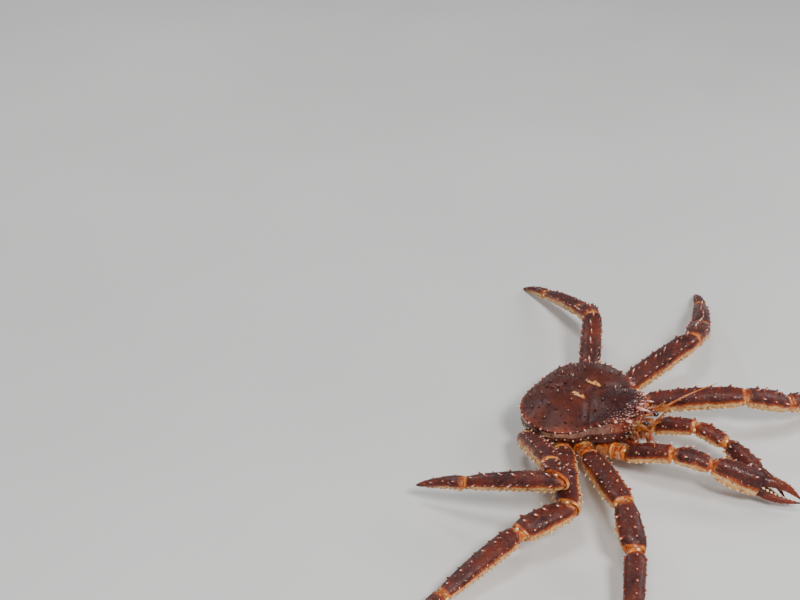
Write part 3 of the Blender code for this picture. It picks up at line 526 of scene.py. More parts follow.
def wall_look():
    """Side wall below the margin: a tan band, a dark band, a purple edge, and rust by the face."""
    look = Look("wall_shell")
    wide = look.noise(60, 5, 0.6, 0.3)
    fine = look.noise(260, 4)
    band = look.ragged(look.value("band"), wide, 0.10)
    tan = look.ramp(wide, (0.36, RED_BROWN), (0.47, tone(162, 114, 92)), (0.64, tone(198, 154, 132)))
    tan = look.cover(tan, GREY_PLUM, look.noise(45, 3), 0.54, 0.62, 0.75)
    tan = look.cover(tan, RED_BROWN, fine, 0.52, 0.66, 0.5)
    plum = look.ramp(fine, (0.42, GREY_PLUM), (0.60, tone(140, 104, 96)))
    tan = look.cover(tan, plum, look.ragged(look.axis("Y"), look.noise(30, 4), 0.09), -0.012, -0.030, 0.60)
    rusty = look.ramp(look.noise(140, 5), (0.36, LIMB_DARK), (0.50, ORANGE_RED), (0.62, TAN))
    tan = look.cover(tan, rusty, look.ragged(look.axis("Y"), wide, 0.03), -0.052, -0.070, 0.85)
    dark = look.ramp(look.noise(110, 5), (0.36, DEEP_MAROON), (0.50, PURPLE_BROWN), (0.66, PLUM))
    colour = look.cover(tan, dark, band, 0.36, 0.44)
    colour = look.cover(colour, look.ramp(fine, (0.4, PLUM), (0.6, tone(146, 78, 84))), band, 0.70, 0.76)
    colour = look.cover(colour, look.ramp(wide, (0.4, TAN), (0.6, CREAM)), band, 0.84, 0.92)
    dots = look.ramp(wide, (0.45, ORANGE_RED), (0.55, DEEP_MAROON))
    colour = look.cover(colour, dots, look.cells(300), 0.24, 0.10, 0.65)
    return look.finish(colour, look.gloss(), look.relief(800, 300))


def belly_look():
    """Cream plates with orange lumps and dark red specks, rusty where they near the back."""
    look = Look("belly_shell", coat=0.35)
    wide = look.noise(55, 5, 0.6, 0.3)
    fine = look.noise(240, 4)
    colour = look.ramp(wide, (0.32, TAN), (0.50, CREAM), (0.68, GOLD))
    lumps = look.ramp(fine, (0.42, ORANGE), (0.60, ORANGE_RED))
    colour = look.cover(colour, lumps, look.value("lump"), 0.25, 0.90, 0.80)
    colour = look.cover(colour, DARK_RED, look.cells(210), 0.22, 0.08, 0.75)
    rusty = look.ramp(fine, (0.40, LIMB_RED), (0.56, ORANGE_RED), (0.70, TAN))
    high = look.ragged(look.axis("Z"), look.noise(38, 5), 0.05)
    colour = look.cover(colour, rusty, high, 0.018, 0.040, 0.85)
    colour = look.cover(colour, tone(104, 52, 38), look.value("seam"), 0.35, 0.9, 0.7)
    return look.finish(colour, look.gloss(0.50, 0.32), look.relief(700, 300))


def membrane_look():
    """Leathery orange-yellow joint skin with dark red dots and fine wrinkles."""
    look = Look("joint_membrane", coat=0.5, coat_roughness=0.2, subsurface=0.12)
    wide = look.noise(110, 5)
    colour = look.ramp(wide, (0.30, ORANGE_RED), (0.43, ORANGE), (0.54, AMBER), (0.66, CREAM))
    colour = look.cover(colour, DARK_RED, look.cells(360), 0.34, 0.16, 0.90)
    normal = look.bump(look.noise(420, 3), 0.0007, 0.5, look.bump(look.noise(150, 2), 0.0014, 0.4))
    return look.finish(colour, look.step(wide, 0.3, 0.7, 0.34, 0.48), normal)


def spine_look(name, root, middle, tip):
    """Spines that fade from the shell's colour at the root to a pale worn tip, or stay dark."""
    look = Look(name, coat=0.4)
    along = look.ragged(look.value("along"), look.noise(300, 3), 0.30)
    colour = look.ramp(along, (0.05, root), (0.40, middle), (0.66, tip))
    dark = look.ramp(along, (0.15, root), (0.95, middle))
    colour = look.cover(colour, dark, look.value("shade"), 0.25, 0.90)
    normal = look.bump(look.noise(1300, 2), 0.0002, 0.4)
    return look.finish(colour, look.step(along, 0.2, 0.8, 0.42, 0.26), normal)


def feeler_look():
    """Orange rings with darker bounds."""
    look = Look("feeler_shell", coat=0.4)
    wide = look.noise(160, 4)
    colour = look.ramp(wide, (0.4, ORANGE), (0.6, AMBER))
    dark = look.ramp(wide, (0.4, DARK_RED), (0.6, ORANGE_RED))
    colour = look.cover(colour, dark, look.ragged(look.value("ring"), wide, 0.35), 0.35, 0.75)
    return look.finish_plain(colour, wide, 0.30, 0.48, look.noise(900, 3), 0.0002, 0.5)


def face_look():
    """Flesh-orange plates, mottled from dark to pale at random."""
    look = Look("face_shell")
    wide = look.noise(130, 5, 0.6, 0.3)
    colour = look.ramp(wide, (0.30, LIMB_DARK), (0.45, ORANGE_RED), (0.56, TAN), (0.72, CREAM))
    colour = look.cover(colour, DARK_RED, look.cells(480), 0.28, 0.12, 0.8)
    colour = look.cover(colour, PINK_WHITE, look.noise(420, 4), 0.55, 0.75, 0.5)
    return look.finish(colour, look.gloss(), look.relief(1200, 600))


def eye_look():
    look = Look("eye_cornea", coat=1.0, coat_roughness=0.03, specular=0.6)
    wide = look.noise(500, 3)
    colour = look.ramp(wide, (0.40, tone(12, 9, 10)), (0.66, tone(46, 28, 22)))
    return look.finish_plain(colour, wide, 0.10, 0.16, look.cells(5200), 0.00006, 0.35)


def tooth_look():
    look = Look("claw_tooth", coat=0.5)
    wide = look.noise(420, 4)
    colour = look.ramp(wide, (0.35, CREAM), (0.60, BONE))
    return look.finish_plain(colour, wide, 0.24, 0.40, wide, 0.0003, 0.4)


def bristle_look():
    look = Look("bristles", coat=0.2)
    wide = look.noise(240, 3)
    colour = look.ramp(wide, (0.4, tone(92, 48, 26)), (0.6, ORANGE))
    tip = look.ramp(wide, (0.4, AMBER), (0.6, CREAM))
    colour = look.cover(colour, tip, look.value("along"), 0.3, 1.0)
    return look.finish_plain(colour, wide, 0.40, 0.55, wide, 0.0001, 0.2)


def floor_look():
    look = Look("studio_floor", coat=0.0)
    wide = look.noise(1.3, 2)
    colour = look.ramp(wide, (0.35, tone(206, 205, 202)), (0.65, tone(212, 211, 208)))
    return look.finish_plain(colour, wide, 0.75, 0.85, look.noise(60, 2), 0.0005, 0.1)


LOOKS = {
    "limb": limb_look(),
    "carapace": carapace_look(),
    "wall": wall_look(),
    "belly": belly_look(),
    "membrane": membrane_look(),
    "limb_spine": spine_look("limb_spines", LIMB_RED, ORANGE_RED, PINK_WHITE),
    "limb_grain": spine_look("limb_granules", LIMB_DARK, LIMB_RED, PINK_WHITE),
    "wall_grain": spine_look("wall_granules", RED_BROWN, TAN, CREAM),
    "tooth_spine": spine_look("edge_teeth", GOLD, CREAM, BONE),
    "back_spine": spine_look("back_spines", DEEP_MAROON, RED_BROWN, PINK_WHITE),
    "face_spine": spine_look("face_spines", DARK_RED, tone(206, 128, 112), PINK_WHITE),
    "feeler": feeler_look(),
    "face": face_look(),
    "eye": eye_look(),
    "tooth": tooth_look(),
    "bristle": bristle_look(),
}


def turns(count):
    """Even angles all the way round."""
    return [2 * pi * k / count for k in range(count)]


def jitter(rng, spread):
    return vec(rng.gauss(0, spread), rng.gauss(0, spread), rng.gauss(0, spread))


def clamped(value):
    return min(max(value, 0.0), 1.0)


def mirrored(out, place):
    """A place or direction of the left side where out is 1, and of the right side where it is -1."""
    return vec(out * place[0], place[1], place[2])


def piece(name, verts, faces, look, nodes, values=None):
    """One visible piece, faces turned outward, riding with the crab in place of the nodes."""
    mesh = bpy.data.meshes.new(name)
    mesh.from_pydata([tuple(v) for v in verts], [], faces)
    for key, numbers in (values or {}).items():
        layer = mesh.attributes.new(key, "FLOAT", "POINT")
        layer.data.foreach_set("value", np.asarray(numbers, dtype=np.float32))
    bm = bmesh.new()
    bm.from_mesh(mesh)
    bmesh.ops.recalc_face_normals(bm, faces=bm.faces)
    bm.to_mesh(mesh)
    bm.free()
    mesh.shade_smooth()
    mesh.materials.append(LOOKS[look])
    thing = bpy.data.objects.new(name, mesh)
    bpy.context.scene.collection.objects.link(thing)
    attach(thing, "root")
    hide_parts(*nodes)
    return thing


def grid_faces(levels, count):
    """Quads between rings of equally many points, and a flat face at each end."""
    faces = []
    for a in range(0, (levels - 1) * count, count):
        for i in range(count):
            j = (i + 1) % count
            faces.append((a + i, a + j, a + count + j, a + count + i))
    faces.append(tuple(range(count)))
    faces.append(tuple(range((levels - 1) * count, levels * count)))
    return faces


def tube(name, points, sides, look, nodes, values=None):
    """A closed piece whose skin joins rings of equally many points."""
    piece(name, points, grid_faces(len(points) // sides, sides), look, nodes, values)


class Thorns:
    """Many small pointed or domed forms, gathered into one mesh."""

    # Height and radius of each ring, as shares of the whole
    SPIKE = ((-0.30, 1.25), (0.0, 1.0), (0.16, 0.80), (0.40, 0.54), (0.70, 0.28), (0.92, 0.09))
    DOME = ((-0.60, 1.0), (0.0, 1.0), (0.55, 0.80), (0.90, 0.40))
    HAIR = ((-0.10, 1.0), (0.35, 0.85), (0.70, 0.55))
    STRAIGHT = vec(0, 0, 0)
    MAP_REACH = 0.46

    def __init__(self, profile, sides):
        self.profile = profile
        self.sides = sides
        self.rows = []

    def add(self, base, axis, length, radius, wide=None, flat=1.0, bend=STRAIGHT, shade=0.0):
        """One form: wide is the way its broad side runs, flat its thickness across that."""
        wide = axis.orthogonal() if wide is None else wide - axis * wide.dot(axis)
        wide = wide.normalized()
        across = axis.cross(wide) * flat
        self.rows.append((*base, *(axis * length), *(wide * radius), *(across * radius), *(bend * length),
                          shade))

    def piece(self, name, look, nodes, slot):
        rows = np.array(self.rows)
        base, axis, wide, across, bend = (rows[:, 3 * k:3 * k + 3] for k in range(5))
        points = []
        along = []
        for height, radius in self.profile:
            for turn in turns(self.sides):
                points.append(base + axis * height + (wide * cos(turn) + across * sin(turn)) * radius
                              + bend * max(height, 0) ** 2)
                along.append(max(height, 0))
        points.append(base + axis + bend)
        along.append(1.0)
        each = len(points)
        top = each - 1 - self.sides
        shape = grid_faces(len(self.profile), self.sides)[:-1]
        shape += [(top + k, top + (k + 1) % self.sides, each - 1) for k in range(self.sides)]
        faces = [tuple(i + each * n for i in face) for n in range(len(rows)) for face in shape]
        verts = np.stack(points, axis=1).reshape(-1, 3)
        values = {"along": np.tile(along, len(rows)), "shade": np.repeat(rows[:, 15], each)}
        self.map_patches(piece(name, verts, faces, look, nodes, values).data, each, len(rows))

    def map_patches(self, mesh, each, count):
        """A UV map on which every form has its own square."""
        cells = int(np.ceil(sqrt(count)))
        loops = np.empty(len(mesh.loops), dtype=np.int64)
        mesh.loops.foreach_get("vertex_index", loops)
        owner = loops // each
        index = loops % each
        turn = 2 * pi * (index % self.sides) / self.sides
        reach = (1 - (index // self.sides) / len(self.profile)) * self.MAP_REACH
        u = (owner % cells + 0.5 + reach * np.cos(turn)) / cells
        v = (owner // cells + 0.5 + reach * np.sin(turn)) / cells
        layer = mesh.uv_layers.new(name="OFBake")
        layer.data.foreach_set("uv", np.stack([u, v], axis=1).astype(np.float32).ravel())


def superellipse(angle, across, height):
    """A point of a rounded oblong section."""
    return [size * copysign(abs(part) ** (2 / SQUARENESS), part)
            for size, part in ((across, cos(angle)), (height, sin(angle)))]


def eased(stations, place):
    """Factors of a profile at a place, without corners at its stations."""
    place = min(max(place, stations[0][0]), stations[-1][0])
    last = len(stations) - 1
    low = max(i for i in range(last) if stations[i][0] <= place)
    span = stations[low + 1][0] - stations[low][0]
    t = (place - stations[low][0]) / span

    def slope(i, k):
        a = stations[max(i - 1, 0)]
        b = stations[min(i + 1, last)]
        return (b[k] - a[k]) / (b[0] - a[0])

    leave = (t ** 3 - 2 * t ** 2 + t) * span
    reach = (t ** 3 - t ** 2) * span
    share = 3 * t ** 2 - 2 * t ** 3
    return [(1 - share) * stations[low][k] + leave * slope(low, k)
            + share * stations[low + 1][k] + reach * slope(low + 1, k) for k in range(1, len(stations[0]))]


def turned(vector, old, new):
    """The vector after the least turn that takes one direction to another."""
    return old.rotation_difference(new) @ vector


def direction(side, yaw, pitch):
    """A unit vector from a yaw forward of straight out and a pitch above level."""
    out = 1 if side == "left" else -1
    flat = cos(radians(pitch))
    return vec(out * cos(radians(yaw)) * flat, -sin(radians(yaw)) * flat, sin(radians(pitch)))


@dataclass
class Segment:
    """A straight length of limb between two joint planes."""

    start: Vector
    end: Vector
    side: Vector
    up: Vector
    start_normal: Vector
    end_normal: Vector
    profile: tuple
    size: tuple
    bow: float
    end_gap: float

    END_POWER = 3

    def __post_init__(self):
        self.length = (self.end - self.start).length
        self.axis = (self.end - self.start).normalized()

    def surface(self, place, angle, scale=1.0, slide=0.0):
        """A point of the skin and the direction straight out from the axis there."""
        across, height = eased(self.profile, place)
        a, b = superellipse(angle, self.size[0] * across * scale, self.size[1] * height * scale)
        corner = self.side * a + self.up * b
        near = (GAP / 2 - self.start_normal.dot(corner)) / self.start_normal.dot(self.axis)
        far = (-self.end_gap - self.end_normal.dot(corner)) / self.end_normal.dot(self.axis)
        shift = near * (1 - place) ** self.END_POWER + far * place ** self.END_POWER + slide
        along = self.axis * (self.length * place + shift)
        return self.start + corner + along + self.up * (self.bow * sin(pi * place)), corner.normalized()


def limb_joints(side, number):
    """The joints of a limb from root to tip; a walking leg ends on the floor unless raised."""
    yaws, pitches = POSE[side, number]
    joints = [mirrored(-1 if side == "left" else 1, ROOTS[number])]
    lengths = CLAW[side]["lengths"] if number == 1 else WALKING[number]["lengths"]
    for yaw, pitch, length in zip(yaws, (HIP_PITCH, *pitches), (HIP_LENGTH[number], *lengths)):
        joints.append(joints[-1] + direction(side, yaw, pitch) * length)
    if number > 1:
        drop = joints[-1].z - RAISED_TIPS.get((side, number), 0.0)
        fall = degrees(asin(drop / lengths[-1]))
        joints.append(joints[-1] + direction(side, yaws[-1], -fall) * lengths[-1])
    return joints


def limb_segments(joints, profiles, sizes, bows, last_normal, last_gap):
    """Segments along the joints, with sections that turn as little as they can at each bend."""
    axes = [(b - a).normalized() for a, b in zip(joints, joints[1:])]
    normals = [axes[0]] + [(a + b).normalized() for a, b in zip(axes, axes[1:])] + [last_normal]
    gaps = [GAP / 2] * (len(axes) - 1) + [last_gap]
    side = axes[0].cross(UP).normalized()
    up = side.cross(axes[0])
    segments = []
    for i, axis in enumerate(axes):
        if i:
            side = turned(side, axes[i - 1], axis)
            up = turned(up, axes[i - 1], axis)
        segments.append(Segment(joints[i], joints[i + 1], side, up, normals[i], normals[i + 1],
                                profiles[i], sizes[i], bows[i], gaps[i]))
    return segments


def flexor(before, after):
    """The inner side of a bend, where the shell is cut back and the joint skin shows."""
    inward = after.axis - before.axis
    return inward.normalized() if inward.length > LEAST_BEND else -before.up


def varied(rng, size):
    return size * (1 + SPINE_VARIATION * rng.uniform(-1, 1))


class Limb:
    """Shells, spines and joint skins of one limb."""

    SHELL_SIDES = 40
    STATION_STEP = 0.0026
    CUT_BACK = 0.0055
    CUT_REACH = 0.016
    RIM_GLOW = 0.0070
    ROOT_GLOW = 0.014

    # Least place of a large spine, span of the rows, and how far places and degrees stray
    FIRST_SPINE = 0.08
    ROW_SPAN = (0.06, 0.95)
    STRAY_PLACE = (0.12, 0.08)
    STRAY_ANGLE = (5, 4)
    SMALL_SHARE = (0.32, 0.52)

    # Distances past a plate's root and before its far end, with the size of the section there
    ROOT_STEPS = ((-0.0040, 0.66), (0, 0.80), (0.0010, 0.90), (0.0026, 0.965), (0.0050, 1.0))
    RIM_START = 0.0060
    ENDS = {
        "rim": ((0.0050, 1.01), (0.0038, 1.04), (0.0024, 1.08), (0.0010, 1.08), (0.0001, 1.04),
                (-0.0002, 0.99), (0.0006, 0.93), (0.0040, 0.86)),
        "round": ((0.0030, 0.99), (0.0010, 0.93), (0, 0.82), (0, 0.5)),
        "tip": (),
    }

    def __init__(self, label, slot):
        self.label = label
        self.slot = slot
        self.nodes = []
        self.spines = Thorns(Thorns.SPIKE, 8)
        self.teeth = Thorns(Thorns.SPIKE, 8)
        self.grains = Thorns(Thorns.DOME, 6)

    def specs(self, segment, rows, rng):
        """Places of the large spines of each row, as in the solids, and of small ones between."""
        large = []
        small = []
        for around, first, last, count, length, step in rows:
            row = []
            for k in range(count):
                step_on = k + self.STRAY_PLACE[0] * rng.uniform(-1, 1)
                place = first + (last - first) * step_on / max(count - 1, 1)
                angle = radians(around + self.STRAY_ANGLE[0] * rng.uniform(-1, 1))
                size = varied(rng, length) * (1.0 if k % 2 == 0 else 0.8)
                # The solids draw a turn of each spine here, which a fine round one doesn't need
                rng.uniform(0, 1.5)
                row.append((max(place, self.FIRST_SPINE), angle, size))
            large += [(*spot, around) for spot in row]
            filler = Random(int(1e6 * segment.length) + around)
            low, high = ((place, radians(around)) for place in self.ROW_SPAN)
            for a, b in zip([low, *row], [*row, high]):
                between = int((b[0] - a[0]) * segment.length / (step * 1.25))
                for k in range(1, between):
                    share = k / between
                    stray = radians(self.STRAY_ANGLE[1]) * filler.uniform(-1, 1)
                    angle = a[1] + (b[1] - a[1]) * share + stray
                    place = a[0] + (b[0] - a[0]) * (share + self.STRAY_PLACE[1] * filler.uniform(-1, 1))
                    small.append((place, angle, length * filler.uniform(*self.SMALL_SHARE), around))
        return large + small

    def arm(self, segment, rows, rng):
        """Plants the spines of a segment and returns where they stand, for the swellings of the skin."""
        specs = self.specs(segment, rows, rng)
        self.keels(segment)
        roots = []
        shades = Random(int(1e6 * segment.length))
        bend_along = 0.14
        bend_in = 0.04
        for place, angle, size, around in specs:
            base, outward = segment.surface(place, angle)
            bend = segment.axis * bend_along - outward * bend_in
            if around in EDGE_ROWS:
                lean = (outward + segment.axis * (SPINE_LEAN * 1.5)).normalized()
                self.teeth.add(base, lean, size, size * 0.46, segment.axis, 0.62, bend, shades.random())
            else:
                lean = (outward + segment.axis * SPINE_LEAN).normalized()
                radius = size * SPINE_SLIMNESS * 1.1
                self.spines.add(base, lean, size, radius, bend=bend, shade=shades.random() * 0.5)
            roots.append((*base, size))
        return roots

    def keels(self, segment):
        """A row of flat pale teeth low on each side, leaning to the tip."""
        rng = Random(int(1e5 * segment.length))
        first, last = KEEL_SPAN
        count = int(segment.length * (last - first) / KEEL_STEP)
        for around in KEEL_ANGLES:
            for k in range(count):
                place = first + (last - first) * (k + 0.3 * rng.random()) / count
                size = KEEL_TOOTH * rng.uniform(0.7, 1.2) * (1.0 - 0.4 * place)
                base, outward = segment.surface(place, radians(around + 5 * rng.uniform(-1, 1)))
                lean = (outward + segment.axis * 1.3).normalized()
                self.teeth.add(base - outward * 0.0004, lean, size, size * 0.55, segment.axis, 0.6,
                               shade=0.2 * rng.random())

    def stud(self, segment, first, last, per_area, seed):
        """Small round granules scattered over the upper side."""
        rng = Random(seed)
        area = segment.length * (last - first) * segment.size[0] * 3.2
        for _ in range(int(per_area * area)):
            place = first + (last - first) * rng.random()
            base, outward = segment.surface(place, radians(90 + 105 * rng.uniform(-1, 1)))
            radius = rng.uniform(0.00035, 0.00085)
            shade = 0.1 if rng.random() < 0.05 else 1.0
            way = (outward + segment.axis * 0.4).normalized()
            self.grains.add(base, way, radius * 1.1, radius, shade=shade)

    def stations(self, segment, first, last, end):
        """Places along a plate with the size of its section at each, from its root to its far end."""
        metre = 1 / segment.length
        places = [(first + past * metre, scale) for past, scale in self.ROOT_STEPS]
        start = places[-1][0]
        stop = last - (0.0 if end == "tip" else self.RIM_START * metre)
        steps = max(int((stop - start) * segment.length / self.STATION_STEP), 2)
        places += [(start + (stop - start) * k / steps, 1.0) for k in range(1, steps + 1)]
        return places + [(last - before * metre, scale) for before, scale in self.ENDS[end]]

    def cut(self, outward, inner, distance):
        """How far a plate is cut back at a distance from its end, on the inner side of a bend."""
        if inner is None:
            return 0.0
        return self.CUT_BACK * max(outward.dot(inner), 0) ** 2 * max(1 - distance / self.CUT_REACH, 0) ** 2

    def shell(self, name, segment, roots, first=0.0, last=1.0, near=None, far=None, end="rim", rusty=0.0,
              lift=0.0, fringe=0.0):
        """A plate tucked in at its root, with a rolled rim, a round end or a tip at its far end."""
        points = []
        outs = []
        values = {"under": [], "far": [], "near": [], "claw": []}
        for place, scale in self.stations(segment, first, last, end):
            past_root = (place - first) * segment.length
            to_end = (last - place) * segment.length
            for angle in turns(self.SHELL_SIDES):
                outward = (segment.side * cos(angle) + segment.up * sin(angle)).normalized()
                slide = self.cut(outward, near, past_root) - self.cut(outward, far, to_end)
                point, out = segment.surface(place, angle, scale, slide)
                points.append(point)
                outs.append(out)
                values["under"].append(0.5 - 0.5 * sin(angle) + lift - fringe * min(cos(angle), 0))
                values["far"].append(max(0.0, 1 - max(to_end, 0) / self.RIM_GLOW) * (end == "rim"))
                values["near"].append(max(rusty, 1 - max(past_root, 0) / self.ROOT_GLOW))
                values["claw"].append(place if end == "tip" else 0.0)
        points = np.array(points)
        swell, values["root"] = swellings(points, roots)
        points += np.array(outs) * swell[:, None]
        tube(name, points, self.SHELL_SIDES, "limb", [self.nodes[-1]], values)

    def hip(self, segment, far):
        """The two short rings of a hip, with joint skin between them."""
        node = self.nodes[-1]
        deep = -0.018 / segment.length
        self.shell(f"{node}_coxa", segment, [], deep, 0.36, rusty=HIP_RUST, lift=HIP_LIFT)
        self.shell(f"{node}_ischium", segment, [], 0.46, 1.0, far=far, rusty=HIP_RUST, lift=HIP_LIFT)
        self.stud(segment, 0.50, 0.95, HIP_GRANULES, 5)
        self.stud(segment, 0.02, 0.34, HIP_GRANULES, 6)
        rings = 16
        sides = 28
        points = []
        for i in range(rings):
            place = 0.30 + 0.22 * i / (rings - 1)
            grow = 0.86 + 0.03 * sin(2 * pi * 3 * i / rings)
            points += [segment.surface(place, angle, grow)[0] for angle in turns(sides)]
        tube(f"{node}_skin", points, sides, "membrane", [node])

    def dress(self, segments, parts, rng, granules, seed, lift=0.0, fringe=0.0):
        """The hip, then spines, granules and a plate for each further segment."""
        for i, ((name, rows), segment) in enumerate(zip(parts, segments)):
            self.nodes.append(f"{self.label}_{name}")
            near = flexor(segments[i - 1], segment) if i else None
            far = flexor(segment, segments[i + 1]) if segment is not segments[-1] else None
            if name == "hip":
                self.hip(segment, far)
                continue
            roots = self.arm(segment, rows, rng)
            self.stud(segment, 0.05, 0.93, granules, seed + i)
            end = {"dactyl": "tip", "palm": "round"}.get(name, "rim")
            self.shell(f"{self.nodes[-1]}_shell", segment, roots, near=near, far=far, end=end, lift=lift,
                       fringe=fringe if name == "merus" else 0.0)

    def finish(self, segments):
        """The joint skins and knobs, then spines, edge teeth and granules as joined pieces."""
        bends = list(zip(segments, segments[1:]))
        for i, (before, after) in enumerate(bends):
            sleeve(f"{self.nodes[i]}_joint_skin", before, after, self.nodes[i:i + 2])
        knuckles(bends).piece(f"{self.label}_knuckles", "tooth_spine", self.nodes, self.slot)
        self.spines.piece(f"{self.label}_spines", "limb_spine", self.nodes, self.slot)
        self.teeth.piece(f"{self.label}_edge_teeth", "tooth_spine", self.nodes, self.slot)
        self.grains.piece(f"{self.label}_granules", "limb_grain", self.nodes, self.slot)


def swellings(points, roots, height=0.11, reach=0.42):
    """How far each point of a skin is raised round the roots, and how near a root it lies."""
    swell = np.zeros(len(points))
    glow = np.zeros(len(points))
    for x, y, z, size in roots:
        near = np.exp(-((points - (x, y, z)) ** 2).sum(axis=1) / (size * reach) ** 2)
        swell += near * size * height
        glow = np.maximum(glow, near)
    return swell, glow


def sleeve(name, before, after, nodes, scale=0.86, back=0.0075, ahead=0.0085, folds=3.5):
    """Wrinkled skin across a joint, bulging a little where the shells leave it room."""
    rings = 26
    sides = 28
    joint = before.end
    first = eased(before.profile, 1.0)
    second = eased(after.profile, 0.0)
    sizes = [(before.size[k] * first[k], after.size[k] * second[k]) for k in range(2)]
    points = []
    for i in range(rings):
        t = i / (rings - 1)
        middle = ((joint - before.axis * back) * (1 - t) ** 2 + joint * (2 * t * (1 - t))
                  + (joint + after.axis * ahead) * t ** 2)
        axis = before.axis.lerp(after.axis, t).normalized()
        side = turned(before.side, before.axis, axis)
        up = turned(before.up, before.axis, axis)
        grow = scale * (1 + 0.10 * sin(pi * t) + 0.035 * sin(2 * pi * folds * t))
        if i in (0, rings - 1):
            grow *= 0.8
        for angle in turns(sides):
            a, b = superellipse(angle, *((start * (1 - t) + end * t) * grow for start, end in sizes))
            points.append(middle + side * a + up * b)
    tube(name, points, sides, "membrane", nodes)


def knuckles(bends):
    """Pale knobs on which neighbouring segments turn."""
    knobs = Thorns(Thorns.DOME, 12)
    for before, after in bends:
        hinge = before.axis.cross(after.axis)
        hinge = hinge.normalized() if hinge.length > LEAST_HINGE else before.side
        size = eased(before.profile, 1.0)
        for out in (-hinge, hinge):
            reach = hypot(before.size[0] * size[0] * out.dot(before.side),
                          before.size[1] * size[1] * out.dot(before.up))
            knobs.add(before.end + out * (reach * 0.90), out, 0.0020, 0.0026, shade=0.2)
    return knobs


def matched(size, factors, own):
    """Factors that give a segment of its own size the same end as its neighbour."""
    return [size[k] * factors[k + 1] / own[k] for k in range(2)]


def hip_profile(size):
    """A hip's widths, ending at those of the merus of the given size."""
    return (*HIP_PROFILE, (1.0, *matched(size, MERUS_PROFILE[0], HIP_SIZE)))


def walking_leg(side, number):
    """A walking leg from hip to dactyl."""
    size = WALKING[number]["size"]
    profiles = (hip_profile(size), MERUS_PROFILE, CARPUS_PROFILE, PROPODUS_PROFILE, DACTYL_PROFILE)
    sizes = (HIP_SIZE, size, size, size, size)
    segments = limb_segments(limb_joints(side, number), profiles, sizes, LEG_BOWS, -UP, 0.0)
    limb = Limb(f"{side}_leg_{number}", "limb")
    limb.dress(segments, LEG_PARTS, Random(10 * number + len(side)), LEG_GRANULES, 31 * number,
               fringe=MERUS_FRINGE if (side, number) in PALE_AHEAD else 0.0)
    limb.finish(segments)


def claw_leg(side):
    """A claw leg: hip, merus, carpus, palm with its fixed finger, and the moving finger."""
    size = CLAW[side]["size"]
    palm = CLAW[side]["palm"]
    joints = limb_joints(side, 1)
    palm_profile = ((0.0, *matched(size, CARPUS_PROFILE[-1], palm)), *PALM_PROFILE)
    profiles = (hip_profile(size), MERUS_PROFILE, CARPUS_PROFILE, palm_profile)
    segments = limb_segments(joints, profiles, (HIP_SIZE, size, size, palm), CLAW_BOWS,
                             (joints[4] - joints[3]).normalized(), GAP / 2)
    limb = Limb(f"{side}_claw", "claw")
    limb.dress(segments, CLAW_PARTS, Random(len(side)), CLAW_GRANULES, 77, lift=CLAW_LIFT)
    tall = palm[1] * PALM_PROFILE[-1][2]
    for name, node, start, share, drops, radii, inner in FINGERS:
        finger(f"{limb.label}_{name}", f"{limb.label}_{node}", joints[4], segments[3],
               (start, CLAW[side]["lengths"][3] * share), [tall * drop for drop in drops],
               [tall * FINGER_RADIUS * radius for radius in radii], inner)
    limb.finish(segments)


def finger(name, node, base, hand, reach, drops, radii, inner):
    """A curved finger with a horny tip, blunt pale teeth and tufts of bristles."""
    curve = [(i / (len(drops) - 1), *both) for i, both in enumerate(zip(drops, radii))]
    side = hand.axis.cross(hand.up)

    def skin(t, angle):
        """A point of the finger, and the middle of its section there."""
        drop, radius = eased(curve, t)
        middle = base + hand.axis * (reach[0] + (reach[1] - reach[0]) * t) + hand.up * drop
        return middle + side * (radius * 0.85 * cos(angle)) + hand.up * (radius * sin(angle)), middle

    sides = 24
    rings = 44
    points = []
    claw = []
    for i in range(rings):
        t = i / (rings - 1)
        points += [skin(t, angle)[0] for angle in turns(sides)]
        claw += [0.30 + 0.70 * t] * sides
    values = {"under": [0.15] * len(points), "claw": claw}
    tube(name, points, sides, "limb", [node], values)
    teeth = Thorns(Thorns.DOME, 10)
    tufts = Thorns(Thorns.HAIR, 4)
    rng = Random(len(name))
    for i in range(FINGER_TEETH):
        t = 0.26 + 0.66 * i / (FINGER_TEETH - 1)
        size = 0.0027 * (1 - 0.62 * t) * rng.uniform(0.85, 1.15)
        point = skin(t, pi / 2 * inner)[0]
        teeth.add(point, hand.up * inner, size * 0.8, size, hand.axis, 0.8, shade=rng.random())
    for _ in range(FINGER_TUFTS):
        t = rng.uniform(0.10, 0.80)
        point, middle = skin(t, -inner * radians(rng.uniform(20, 160)))
        out = (point - middle).normalized()
        for _ in range(TUFT_HAIRS):
            way = (out + hand.axis * 0.8 + jitter(rng, 0.25)).normalized()
            tufts.add(point - out * 0.0002, way, rng.uniform(0.0022, 0.0042), 0.00013, shade=rng.random())
    teeth.piece(f"{name}_teeth", "tooth", [node], "claw")
    tufts.piece(f"{name}_tufts", "bristle", [node], "claw")


def curve_point(p0, p1, p2, p3, t):
    """A point of the smooth curve through four points, between the middle two."""
    return 0.5 * (2 * p1 + (p2 - p0) * t + (2 * p0 - 5 * p1 + 4 * p2 - p3) * t * t
                  + (3 * p1 - p0 - 3 * p2 + p3) * t ** 3)


